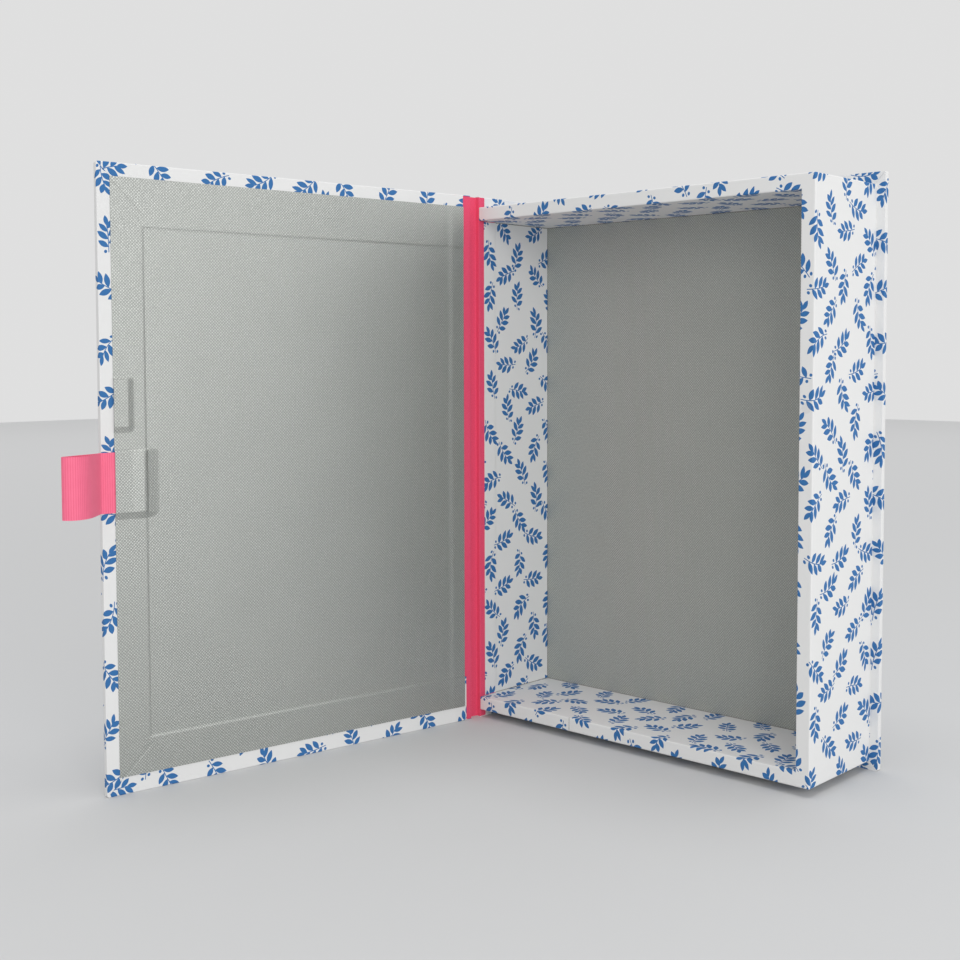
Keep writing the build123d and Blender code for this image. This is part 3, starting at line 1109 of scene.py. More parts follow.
@dataclass
class Piece:
    """One visible piece: its mesh, where it goes and what it is made of."""

    name: str
    bm: Mesh
    placing: Matrix
    body: Body | None
    slot: Slot
    material: bpy.types.Material
    replaces: tuple[str, ...]
    thick: float
    offset: float = -1.0
    outward: Vector | None = None
    weld: float = 0.003
    sharp_from: float = math.radians(34)

    def build(self) -> bpy.types.Object:
        """Make the object, thicken it and hang it on its body.

        Returns:
            The finished object.
        """
        self._settle()
        mesh = bpy.data.meshes.new(self.name)
        self.bm.to_mesh(mesh)
        self.bm.free()
        mesh.materials.append(self.material)
        for polygon in mesh.polygons:
            polygon.use_smooth = True
        made = put_in_scene(self.name, mesh)
        shell = made.modifiers.new("thickness", "SOLIDIFY")
        shell.thickness = self.thick * MM
        shell.offset = self.offset
        shell.use_even_offset = True
        if self.body is not None:
            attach(made, self.body.value)
        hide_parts(*self.replaces)
        LOG.info("%s: %d faces", self.name, len(mesh.polygons))
        return made

    def _settle(self) -> None:
        """Weld and place the mesh, turn it outwards and mark its sharp edges.

        An open edge is sharp too, or the thickness would bend the shading of the face beside it.
        """
        bmesh.ops.remove_doubles(self.bm, verts=self.bm.verts[:], dist=self.weld)
        bmesh.ops.dissolve_degenerate(self.bm, dist=self.weld, edges=self.bm.edges[:])
        self.bm.transform(self.placing)
        self.bm.normal_update()
        if self.outward is not None:
            lean = sum((face.normal * face.calc_area() for face in self.bm.faces), Vector())
            if lean.dot(self.outward) < 0:
                bmesh.ops.reverse_faces(self.bm, faces=self.bm.faces[:])
        for edge in self.bm.edges:
            edge.smooth = len(edge.link_faces) == 2 and edge.calc_face_angle(0.0) < self.sharp_from


# Cover papers


@dataclass(frozen=True)
class BoardWrap:
    """How paper wraps a board: the board's developed width, thickness and turn-ins.

    A point of the wrap has three measures: w along the board from its hinge edge, d in from
    the outer face, and z up.
    """

    width: float
    thick: float
    fore: float
    head: float
    tail: float
    height: float = SIZES.height
    seam_half: float = 0.05
    seam_start: float = 1.6

    def zone(self, w: float, z: float) -> Zone:
        """Return the turn-in that a place on the inner face belongs to."""
        reach = {Zone.FORE: self.width - w, Zone.HEAD: self.height - z, Zone.TAIL: z}
        return min(reach, key=reach.get)

    def flat(self, w: float, d: float, z: float, zone: Zone, inner: bool) -> Pair:
        """Return the place on the flat sheet.

        Args:
            w: distance along the board.
            d: depth from the outer face.
            z: height.
            zone: the part of the wrapping.
            inner: whether the place is on the inner half of the wrap.

        Returns:
            The flat place in millimetres.
        """
        if zone is Zone.FORE:
            return (2 * self.width - w + d if inner else w + d), z
        if zone is Zone.HEAD:
            return w, (2 * self.height - z + d if inner else z + d)
        if zone is Zone.TAIL:
            return w, (-z - d if inner else z - d)
        return w, z

    def cut_mitres(self, bm: Mesh, place: Callable[[float, float], Vector], on_inner: Test) -> None:
        """Cut the two slanting seams where turn-ins meet at the fore-edge corners.

        Args:
            bm: the wrap's mesh.
            place: returns the point at a distance along the board and a height.
            on_inner: tells whether a point lies on the inner face.
        """
        in_seam = self.seam_half * 0.9
        for corner_z, rise in ((self.height, -1.0), (0.0, 1.0)):
            corner = place(self.width, corner_z)
            slant = (place(self.width - 1.0, corner_z + rise) - corner).normalized()
            inward = (place(self.width - 1.0, corner_z) - corner).normalized()
            across = (inward - slant * inward.dot(slant)).normalized()
            for side in (-self.seam_half, self.seam_half):
                cut(bm, corner + across * side, across, on_inner)
            drop_faces(
                bm,
                lambda middle: on_inner(middle)
                and abs((middle - corner).dot(across)) < in_seam
                and (middle - corner).dot(slant) > self.seam_start,
            )


@dataclass
class LidCover:
    """Cover paper of the lid, wrapped on three edges and carried over half of the joint."""

    material: bpy.types.Material
    wrap: BoardWrap = BoardWrap(
        SIZES.lid_width, SIZES.thick, SIZES.turn_in_fore, SIZES.turn_in_head, SIZES.turn_in_tail
    )
    corner: float = 1.2
    edge: float = 0.4
    beside_corner: float = 0.4
    beside_edge: float = 0.3
    beside_side: float = 0.25
    leaf_slope: float = 0.5
    turn_in_start: float = 4.3
    head_turn_in_start: float = 5.7
    bend_start: float = -1.7
    bend_end: float = 0.05

    def build(self) -> bpy.types.Object:
        """Make the lid's paper.

        Returns:
            The finished piece.
        """
        width, thick, height = self.wrap.width, self.wrap.thick, self.wrap.height
        bm = bmesh.new()
        bmesh.ops.create_cube(bm, size=1.0)
        bmesh.ops.translate(bm, verts=bm.verts, vec=(0.5, 0.5, 0.5))
        bmesh.ops.scale(bm, verts=bm.verts, vec=(width, thick, height))
        corners = [e for e in bm.edges if extent(e).y > APART and e.verts[0].co.x > APART]
        round_edges(bm, corners, self.corner, segments=6)
        round_edges(bm, [e for e in bm.edges if self._on_faces(e)], self.edge, segments=3)
        drop_faces(bm, lambda middle: middle.x < SAME)
        cut_across(bm, X, (width - self.corner - self.beside_corner, width - self.edge - self.beside_edge))
        cut_across(bm, Z, (self.edge + self.beside_edge, height - self.edge - self.beside_edge))
        cut_across(bm, Y, (self.edge + self.beside_side, thick - self.edge - self.beside_side))
        self.wrap.cut_mitres(bm, lambda w, z: Vector((w, thick, z)), self._inner)
        leaf = (SIZES.leaf_end, SIZES.leaf_end + self.leaf_slope)
        cut_across(
            bm, X, (self.turn_in_start, self.head_turn_in_start, *leaf, width - self.wrap.fore), self._inner
        )
        inset = SIZES.cloth_inset
        cut_across(bm, Z, (inset, self.wrap.tail, height - self.wrap.head, height - inset), self._inner)
        drop_faces(bm, self._opening)
        for vert in bm.verts:
            on_leaf = vert.co.x < SIZES.leaf_end + SAME and inset < vert.co.z < height - inset
            if on_leaf and self._inner(vert.co):
                vert.co.y += SIZES.cloth
        self._add_joint(bm)
        unfold(bm, self._flat)
        made = Piece(
            "lid_cover_paper_wrap", bm, SIZES.lid, None, Slot.PAPER, self.material,
            ("lid_cover_paper",), SIZES.paper,
        ).build()
        bend_between(made, SIZES.lid, (self.bend_start, 0, 0), (self.bend_end, 0, 0))
        return made

    def _on_faces(self, edge: Edge) -> bool:
        """Tell whether an edge borders the outer or inner face away from the hinge."""
        at_hinge = all(v.co.x < SAME for v in edge.verts)
        return extent(edge).y < SAME and not at_hinge

    def _inner(self, middle: Vector) -> bool:
        """Tell whether a point lies on the inner face."""
        return middle.y > self.wrap.thick - SAME

    def _opening(self, middle: Vector) -> bool:
        """Tell whether a face lies where no turn-in covers the inner face.

        Args:
            middle: the face's middle.

        Returns:
            True for a face that is left out.
        """
        if not self._inner(middle):
            return False
        inside = self.wrap.tail < middle.z < self.wrap.height - self.wrap.head
        shown = SIZES.cloth_inset < middle.z < self.wrap.height - SIZES.cloth_inset
        start = self.turn_in_start if middle.z < self.wrap.height / 2 else self.head_turn_in_start
        over_leaf = middle.x < start and shown
        return over_leaf or (inside and middle.x < self.wrap.width - self.wrap.fore)

    def _add_joint(self, bm: Mesh) -> None:
        """Carry the outer paper on over half of the joint.

        Args:
            bm: the paper's mesh.
        """
        edges = [e for e in bm.edges if e.is_boundary and all(v.co.xy.length < SAME for v in e.verts)]
        back = math.radians(SIZES.open_angle - SIZES.strip_angle)
        run = Vector((-math.cos(back), -math.sin(back), 0.0)) * SIZES.joint_gap / 2
        carry_on(bm, edges, run, -Y)

    def _flat(self, face: Face, co: Vector) -> Pair:
        """Find the place of a face's corner on the flat sheet, which runs on from the spine's paper.

        Args:
            face: the face.
            co: its corner.

        Returns:
            The flat place in millimetres.
        """
        middle = face.calc_center_median()
        inner = middle.y > self.wrap.thick / 2
        turned_in = self._inner(middle) or abs(face.normal.y) < SQUARE
        zone = self.wrap.zone(middle.x, middle.z) if turned_in else Zone.OUTER
        along, up = self.wrap.flat(co.x, co.y, co.z, zone, inner)
        return -along - SIZES.joint_gap, up


@dataclass
class TrayCover:
    """Cover paper of the spine and base in one sheet, carried over half of the joint."""

    material: bpy.types.Material
    corner: float = 1.0
    edge: float = 0.4
    back: float = 0.9
    beside: float = 0.3
    leaf_slope: float = 0.5
    turn_in_start: float = 4.9
    lap: float = 12.2
    wall_cover: float = 1.2
    bend_start: float = -0.05
    bend_end: float = 1.7

    @property
    def wrap(self) -> BoardWrap:
        """Develop the spine and base as one board.

        Returns:
            How the paper wraps that board.
        """
        width = SIZES.case_back + SIZES.case_fore - SIZES.case_out
        head = SIZES.height - SIZES.inner_head
        return BoardWrap(width, SIZES.thick, self.lap, head, SIZES.inner_tail)

    @property
    def clear(self) -> Pair:
        """Return the heights between which the base has no turn-in."""
        return SIZES.inner_tail - self.wall_cover, SIZES.inner_head + self.wall_cover

    def build(self) -> bpy.types.Object:
        """Make the tray's outer paper.

        Returns:
            The finished piece.
        """
        height, inset = SIZES.height, SIZES.cloth_inset
        out, back, fore, floor = SIZES.case_out, SIZES.case_back, SIZES.case_fore, SIZES.floor_paper
        bm = mapped_grid([out, 0.0, fore], [0.0, floor, back])
        drop_faces(bm, lambda middle: middle.x > 0 and middle.y < floor)
        deepen(bm, Z * height)
        corners = [e for e in bm.edges if extent(e).y > APART and all(v.co.x > fore - SAME for v in e.verts)]
        round_edges(bm, corners, self.corner, segments=6)
        spine = Vector((out, back))
        round_edges(bm, [e for e in bm.edges if self._stands_at(e, spine)], self.back, segments=4)
        round_edges(bm, [e for e in bm.edges if self._is_rim(e)], self.edge, segments=3)
        drop_faces(bm, lambda middle: middle.y < SAME)
        cut_across(bm, X, (fore - self.edge - self.beside, out + self.back + self.beside))
        cut_across(bm, Y, (back - self.back - self.beside,))
        cut_across(bm, Z, (self.edge + self.beside, height - self.edge - self.beside))
        self.wrap.cut_mitres(bm, self._on_base, self._base_inner)
        cut_across(bm, Z, (inset, SIZES.inner_tail, SIZES.inner_head, height - inset), self._spine_inner)
        leaf = (SIZES.leaf_end, SIZES.leaf_end + self.leaf_slope)
        cut_across(bm, Y, (self.turn_in_start, *leaf), self._spine_inner)
        cut_across(bm, Z, self.clear, self._base_inner)
        cut_across(bm, X, (fore - self.lap,), self._base_inner)
        drop_faces(bm, self._opening)
        for vert in bm.verts:
            on_leaf = SAME < vert.co.y < SIZES.leaf_end + SAME and inset < vert.co.z < height - inset
            if on_leaf and abs(vert.co.x) < SAME:
                vert.co.x += SIZES.cloth
        self._add_joint(bm)
        unfold(bm, self._flat)
        made = Piece(
            "case_cover_paper_wrap", bm, SIZES.tray, None, Slot.PAPER, self.material,
            ("spine_cover_paper", "base_cover_paper", "joint_cover_paper"), SIZES.paper,
        ).build()
        bend_between(made, SIZES.strip, (self.bend_start, 0, 0), (self.bend_end, 0, 0))
        return made

    @staticmethod
    def _stands_at(edge: Edge, place: Vector) -> bool:
        """Tell whether an edge stands along Z at a place in plan."""
        return all((v.co.xy - place).length < SAME for v in edge.verts)

    def _is_rim(self, edge: Edge) -> bool:
        """Tell whether an edge is an outer edge of the spine or base that the paper folds over.

        Args:
            edge: the edge.

        Returns:
            True for an edge to round.
        """
        if all(v.co.y < SAME for v in edge.verts):
            return False
        side_on, face_on = 0.1, 0.9
        normals = [face.normal for face in edge.link_faces]
        at_end = any(all(abs(v.co.z - end) < SAME for v in edge.verts) for end in (0.0, SIZES.height))
        if at_end:
            return any(abs(n.z) < side_on for n in normals) and any(abs(n.z) > face_on for n in normals)
        at_fore = all(v.co.x > SIZES.case_fore - self.corner - SAME for v in edge.verts)
        on_side = any(abs(n.y) > face_on for n in normals)
        return at_fore and on_side and extent(edge).y < SAME and extent(edge).z > APART

    @staticmethod
    def _on_base(w: float, z: float) -> Vector:
        """Return the point of the base's inner face at a developed distance and height."""
        return Vector((w - SIZES.case_back + SIZES.case_out, SIZES.floor_paper, z))

    @staticmethod
    def _base_inner(middle: Vector) -> bool:
        """Tell whether a point lies on the base's inner face."""
        return abs(middle.y - SIZES.floor_paper) < SAME and middle.x > 0

    @staticmethod
    def _spine_inner(middle: Vector) -> bool:
        """Tell whether a point lies on the spine's inner face."""
        return abs(middle.x) < SAME and middle.y < SIZES.floor_paper

    def _opening(self, middle: Vector) -> bool:
        """Tell whether a face lies where no turn-in covers an inner face.

        Args:
            middle: the face's middle.

        Returns:
            True for a face that is left out.
        """
        if self._spine_inner(middle):
            inside = SIZES.inner_tail < middle.z < SIZES.inner_head
            shown = SIZES.cloth_inset < middle.z < SIZES.height - SIZES.cloth_inset
            return inside or (middle.y < self.turn_in_start and shown)
        if self._base_inner(middle):
            low, high = self.clear
            return low < middle.z < high and middle.x < SIZES.case_fore - self.lap
        return False

    def _add_joint(self, bm: Mesh) -> None:
        """Carry the outer paper on over half of the joint.

        Args:
            bm: the paper's mesh.
        """
        fold = SIZES.fold_a.xy
        edges = [e for e in bm.edges if e.is_boundary and self._stands_at(e, fold)]
        carry_on(bm, edges, SIZES.strip_run * SIZES.joint_gap / 2, -X)

    def _flat(self, face: Face, co: Vector) -> Pair:
        """Find the place of a face's corner on the flat sheet.

        Args:
            face: the face.
            co: its corner.

        Returns:
            The flat place in millimetres.
        """
        middle = face.calc_center_median()
        spine_side, base_side = 0.3, 1.0
        on_spine = middle.x < spine_side and middle.y < SIZES.case_back - base_side
        if on_spine:
            w, d, mid_w, mid_d = co.y, co.x - SIZES.case_out, middle.y, middle.x - SIZES.case_out
            facing = abs(face.normal.x)
        else:
            start = SIZES.case_back - SIZES.case_out
            w, d = start + co.x, SIZES.case_back - co.y
            mid_w, mid_d = start + middle.x, SIZES.case_back - middle.y
            facing = abs(face.normal.y)
        inner = mid_d > SIZES.thick / 2
        outer = not inner and facing > SQUARE
        zone = Zone.OUTER if outer else self.wrap.zone(mid_w, middle.z)
        if on_spine and zone is Zone.FORE:
            zone = Zone.HEAD if middle.z > SIZES.height / 2 else Zone.TAIL
        return self.wrap.flat(w, d, co.z, zone, inner)


@dataclass
class WallWrap:
    """Paper strip round the three tray walls: outer faces, rim and inner faces."""

    material: bpy.types.Material
    corner: float = 0.8
    rim: float = 0.7
    beside_rim: float = 0.4
    mitre_depth: float = 1.2
    seam: float = 73.5
    seam_half: float = 0.25

    def build(self) -> bpy.types.Object:
        """Make the walls' paper.

        Returns:
            The finished piece.
        """
        start, width, fore = SIZES.paper, SIZES.inner_width, SIZES.tray_fore
        low, high = SIZES.tray_tail, SIZES.tray_head
        inner_low, inner_high = SIZES.inner_tail, SIZES.inner_head
        bm = mapped_grid([start, width, fore], [low, inner_low, inner_high, high])
        for vert in bm.verts:
            vert.co = Vector((vert.co.x, 0.0, vert.co.y))
        drop_faces(bm, lambda m: m.x < width and inner_low < m.z < inner_high)
        deepen(bm, Y * SIZES.floor_paper)
        drop_faces(bm, lambda m: m.y > SIZES.floor_paper - SAME or m.x < start + SAME)
        corners = [
            e for e in bm.edges
            if all(v.co.x > fore - SAME for v in e.verts)
            and extent(e).y > APART
            and not low + APART < e.verts[0].co.z < high - APART
        ]
        round_edges(bm, corners, self.corner, segments=5)
        rims = [e for e in bm.edges if all(v.co.y < SAME for v in e.verts) and self._turns(e)]
        round_edges(bm, rims, self.rim, segments=4)
        inset = self.rim + self.beside_rim
        cut_across(bm, Y, (inset,))
        cut_across(bm, X, (fore - inset,))
        cut_across(bm, Z, (low + inset, high - inset))
        cut_across(bm, X, (width + inset,))
        cut_across(bm, Z, (inner_low - inset, inner_high + inset))
        for inner_z, rise in ((inner_high, -1.0), (inner_low, 1.0)):
            cut(bm, (width, 0.0, inner_z), (rise, 0.0, 1.0), self._at_inner_corners)
        cut_across(bm, X, (self.seam - self.seam_half, self.seam + self.seam_half), self._on_tail_rim)
        drop_faces(bm, lambda m: self._on_tail_rim(m) and abs(m.x - self.seam) < self.seam_half)
        unfold(bm, self._flat)
        return Piece(
            "tray_wall_paper_wrap", bm, SIZES.tray, Body.TRAY, Slot.PAPER, self.material,
            ("tray_wall_paper",), SIZES.paper,
        ).build()

    def _at_inner_corners(self, middle: Vector) -> bool:
        """Tell whether a point lies on the rim at or past the walls' inner corners."""
        return middle.y < self.mitre_depth and middle.x > SIZES.inner_width - APART

    def _on_tail_rim(self, middle: Vector) -> bool:
        """Tell whether a point lies on the tail wall's rim, where the strip's two ends meet."""
        on_tail_wall = middle.z < SIZES.inner_tail + SAME and middle.x < SIZES.inner_width - APART
        return on_tail_wall and middle.y < self.rim

    @staticmethod
    def _turns(edge: Edge) -> bool:
        """Tell whether an edge lies between the rim and a side of a wall."""
        clear_turn = math.radians(30)
        return len(edge.link_faces) == 2 and edge.calc_face_angle() > clear_turn

    def _flat(self, face: Face, co: Vector) -> Pair:
        """Find the place of a face's corner on the flat strip.

        Args:
            face: the face.
            co: its corner.

        Returns:
            The flat place in millimetres.
        """
        middle = face.calc_center_median()
        low, high, fore = SIZES.tray_tail, SIZES.tray_head, SIZES.tray_fore
        from_tail, from_head, from_fore = middle.z - low, high - middle.z, fore - middle.x
        nearest_fore = from_fore == min(from_tail, from_head, from_fore)
        side_on = 0.75
        fore_side = from_fore < SIZES.wall and abs(face.normal.x) > side_on
        if (nearest_fore and abs(face.normal.z) < side_on) or fore_side:
            along, depth, mid_depth = fore + co.z - low, fore - co.x, from_fore
        elif from_tail < from_head:
            along, depth, mid_depth = co.x, co.z - low, from_tail
        else:
            along, depth, mid_depth = fore + high - low + fore - co.x, high - co.z, from_head
        if mid_depth < SIZES.wall / 2:
            return along, depth - co.y
        return along, depth + co.y


# Inner papers, linings and hinge cloth


@dataclass
class SpinePaper:
    """Paper on the inner face of the spine, draped over the hinge cloth's leaf."""

    material: bpy.types.Material
    start: float = 4.5
    play: float = 0.4
    fall: float = 2.4
    print_start: float = 500.0

    def build(self) -> bpy.types.Object:
        """Make the spine's inner paper.

        Returns:
            The finished piece.
        """
        leaf = SIZES.leaf_end
        closer = [(leaf - 1.6, leaf + self.fall, 0.3)]
        deep = stations(self.start, SIZES.inner_depth, spacing=12.0, fine=closer)
        rows = stations(SIZES.inner_tail + self.play, SIZES.inner_head - self.play, spacing=60.0)
        bm = mapped_grid(deep, rows)
        for vert in bm.verts:
            depth, z = vert.co.x, vert.co.y
            lift = SIZES.cloth * (1 - smooth_rise(depth, leaf + self.play, self.fall))
            vert.co = Vector((lift, depth, z))
        unfold(bm, lambda face, co: (co.y + self.print_start, co.z))
        return Piece(
            "spine_inner_paper_sheet", bm, SIZES.tray, Body.TRAY, Slot.PAPER, self.material,
            ("spine_inner_paper",), SIZES.paper, outward=X,
        ).build()


@dataclass
class FloorLining:
    """Grey cloth laid on the tray's floor."""

    material: bpy.types.Material
    play: float = 0.3

    def build(self) -> bpy.types.Object:
        """Make the floor's lining.

        Returns:
            The finished piece.
        """
        across = stations(self.play, SIZES.inner_width - self.play, spacing=24.0)
        along = stations(SIZES.inner_tail + self.play, SIZES.inner_head - self.play, spacing=24.0)
        bm = mapped_grid(across, along)
        for vert in bm.verts:
            vert.co = Vector((vert.co.x, SIZES.inner_depth, vert.co.y))
        unfold(bm, lambda face, co: (co.x, co.z))
        made = Piece(
            "base_lining_cloth", bm, SIZES.tray, Body.TRAY, Slot.GREY_CLOTH, self.material,
            ("base_lining",), SIZES.lining, outward=-Y,
        ).build()
        return made


@dataclass(frozen=True)
class Drape:
    """A flat thing under the lid's lining, and how the cloth comes down from it.

    The cloth falls on the thing's hinge side, below it and above it.
    """

    hinge_side: float
    middle: float
    length: float
    fall: float
    fall_below: float
    fall_above: float
    evenness: float = 0.85

    @property
    def low(self) -> float:
        """Return the height of the thing's lower end."""
        return self.middle - self.length / 2

    @property
    def high(self) -> float:
        """Return the height of the thing's upper end."""
        return self.middle + self.length / 2

    def past(self, s: float) -> float:
        """Return how far a place is past the thing's hinge-side edge, negative before it."""
        return s - self.hinge_side

    def share(self, s: float, z: float) -> float:
        """Tell how high the cloth stands over the thing at a place.

        Args:
            s: distance from the lid's hinge edge.
            z: height.

        Returns:
            A share of the thing's thickness, from 0 to 1.
        """
        aside = max(0.0, -self.past(s)) / self.fall
        below = max(0.0, self.low - z) / self.fall_below
        above = max(0.0, z - self.high) / self.fall_above
        share = max(0.0, 1 - math.hypot(aside, below + above))
        return share * (self.evenness + (1 - self.evenness) * share)


@dataclass
class LidLining:
    """Grey cloth inside the lid, draped over all that lies on the board."""

    material: bpy.types.Material
    hinge: float = 5.5
    fore: float = 7.0
    head: float = 7.2
    tail: float = 9.25
    tails: Drape = Drape(
        hinge_side=SIZES.lid_width - 22.6, middle=SIZES.tab_height, length=SIZES.tab_width,
        fall=8.6, fall_below=3.6, fall_above=1.3,
    )
    tails_thick: float = 0.95
    tails_lift: float = 0.5
    tails_rest: float = 6.2
    plate: Drape = Drape(
        hinge_side=SIZES.lid_width - 14.6, middle=206.0, length=24.5,
        fall=3.4, fall_below=3.2, fall_above=1.2,
    )
    plate_thick: float = 0.85
    leaf_fall: float = 4.6
    leaf_play: float = 1.2
    play: float = 0.4
    ramp: float = 1.5
    mitre_reach: float = 24.5
    mitre_half: float = 0.9
    mitre_depth: float = 0.75

    def build(self) -> bpy.types.Object:
        """Make the lid's lining.

        Returns:
            The finished piece.
        """
        across, along = self._stations()
        bm = mapped_grid(across, along)
        for vert in bm.verts:
            s, z = vert.co.x, vert.co.y
            vert.co = Vector((s, SIZES.paper + SIZES.board + self.rise(s, z) + SIZES.lining, z))
        unfold(bm, lambda face, co: (co.x, co.z))
        made = Piece(
            "lid_lining_cloth", bm, SIZES.lid, Body.LID, Slot.GREY_CLOTH, self.material,
            ("lid_lining",), SIZES.lining, outward=X,
        ).build()
        return made

    def _stations(self) -> tuple[list[float], list[float]]:
        """Place the cloth's columns and rows, closer where it bends.

        Returns:
            The columns and the rows.
        """
        width, height, leaf = SIZES.lid_width, SIZES.height, SIZES.leaf_end
        tail_in, head_in = SIZES.turn_in_tail, height - SIZES.turn_in_head
        # Stretches as start, end and spacing
        across = [
            (leaf - 2.0, leaf + 4.0, 0.4),
            (self.tails.hinge_side - 10.0, width - 20.0, 0.45),
            (width - 20.0, width - self.fore, 0.5),
        ]
        along = [
            (self.tail, tail_in - 1.5, 1.0),
            (tail_in - 2.0, tail_in + 3.0, 0.4),
            (head_in - 3.0, head_in + 2.0, 0.4),
            (head_in + 1.5, height - self.head, 1.0),
            (self.tails.low - 5.0, self.tails.low + 2.0, 0.4),
            (self.tails.high - 2.0, self.tails.high + 3.0, 0.35),
            (self.plate.low - 4.5, self.plate.low + 2.0, 0.4),
            (self.plate.high - 2.0, self.plate.high + 3.0, 0.35),
        ]
        columns = stations(self.hinge, width - self.fore, spacing=9.0, fine=across)
        rows = stations(self.tail, height - self.head, spacing=9.0, fine=along)
        return columns, rows

    def rise(self, s: float, z: float) -> float:
        """Return how far the cloth stands off the board at a place.

        Args:
            s: distance from the lid's hinge edge.
            z: height.

        Returns:
            The rise in millimetres.
        """
        leaf = SIZES.cloth * (1 - smooth_rise(s, SIZES.leaf_end + self.leaf_play, self.leaf_fall))
        turned_in = max(
            1 - smooth_rise(z, SIZES.turn_in_tail + self.play, self.ramp),
            smooth_rise(z, SIZES.height - SIZES.turn_in_head - self.play, self.ramp),
            smooth_rise(s, SIZES.lid_width - SIZES.turn_in_fore - self.play, self.ramp),
        )
        papers = SIZES.paper * turned_in
        ditch = SIZES.paper * self._mitre(s, z) * self.mitre_depth
        lift = self.tails_lift * min(1.0, max(0.0, 1 - self.tails.past(s) / self.tails_rest))
        tails = (self.tails_thick + lift) * self.tails.share(s, z)
        plate = self.plate_thick * self.plate.share(s, z)
        return leaf + papers - ditch + tails + plate

    def _mitre(self, s: float, z: float) -> float:
        """Tell how near a place is to a mitred corner's seam.

        Args:
            s: distance from the lid's hinge edge.
            z: height.

        Returns:
            A share from 0, away from the seam, to 1, on it.
        """
        w = SIZES.lid_width - s
        heights = [h for h in (z, SIZES.height - z) if max(w, h) < self.mitre_reach]
        if not heights:
            return 0.0
        nearest = min(abs(w - h) / math.sqrt(2) for h in heights)
        return max(0.0, 1 - nearest / self.mitre_half)


@dataclass
class HingeCloth:
    """Pink cloth of the hinge, in two halves that meet in the middle of the joint."""

    material: bpy.types.Material
    leaf: float = SIZES.leaf_end - 0.1
    layer: float = 0.5
    edge_radius: float = 0.45
    joint_radius: float = 0.9
    clearance: float = 0.02
    bend: float = 1.9
    past_fold: float = 0.05

    def build(self) -> list[bpy.types.Object]:
        """Make both halves."""
        return [self._spine_half(), self._lid_half()]

    def _middle(self) -> Vector:
        """Find the cloth's face in the middle of the joint.

        Returns:
            The place in tray coordinates.
        """
        along = SIZES.strip_run
        inward = Vector((-along.y, along.x, 0.0))
        return SIZES.fold_a + along * SIZES.joint_gap / 2 + inward * self.layer

    def _make(
        self, name: str, path: list[Vector], placing: Matrix, replaced: tuple[str, ...], facing: Vector,
    ) -> bpy.types.Object:
        """Args:
            name: name of the piece.
            path: points of the cloth's face in plan.
            placing: placing of the path's millimetres in the world.
            replaced: nodes that the piece stands for.
            facing: the side that the cloth's face turns to.

        Returns:
            The finished piece.
        """
        rows = stations(SIZES.cloth_inset, SIZES.height - SIZES.cloth_inset, spacing=55.0)
        bm = path_sheet(path, rows)
        made = Piece(
            name, bm, placing, None, Slot.PINK_CLOTH, self.material, replaced, SIZES.cloth, outward=facing
        ).build()
        return made

    def _spine_half(self) -> bpy.types.Object:
        """Make the half on the spine: leaf, front edge and half of the joint.

        Returns:
            The finished piece.
        """
        middle = self._middle()
        foot = (SIZES.case_out + self.layer + self.clearance, 0.0)
        corners = [(0.0, self.leaf), (0.0, 0.0), foot, (middle.x, middle.y)]
        path = rounded_path(corners, [self.edge_radius, self.joint_radius], spacing=1.0)
        made = self._make(
            "hinge_cloth_spine_half", path, SIZES.tray,
            ("hinge_cloth_spine_leaf", "hinge_cloth_joint"), Vector((1, -0.3, 0)),
        )
        bend_between(made, SIZES.strip, (-self.past_fold, 0, 0), (self.bend, 0, 0))
        return made

    def _lid_half(self) -> bpy.types.Object:
        """Make the half on the lid: half of the joint, the lid's hinge edge and the leaf.

        Returns:
            The finished piece.
        """
        middle = (SIZES.lid.inverted() @ SIZES.tray) @ self._middle()
        foot = (-self.clearance, self.layer)
        corners = [(middle.x, middle.y), foot, (0.0, SIZES.thick), (self.leaf, SIZES.thick)]
        path = rounded_path(corners, [self.joint_radius, self.edge_radius], spacing=1.0)
        made = self._make(
            "hinge_cloth_lid_half", path, SIZES.lid,
            ("hinge_cloth_lid_leaf",), Vector((1, 0.3, 0)),
        )
        bend_between(made, SIZES.lid, (-self.bend, 0, 0), (self.past_fold, 0, 0))
        return made


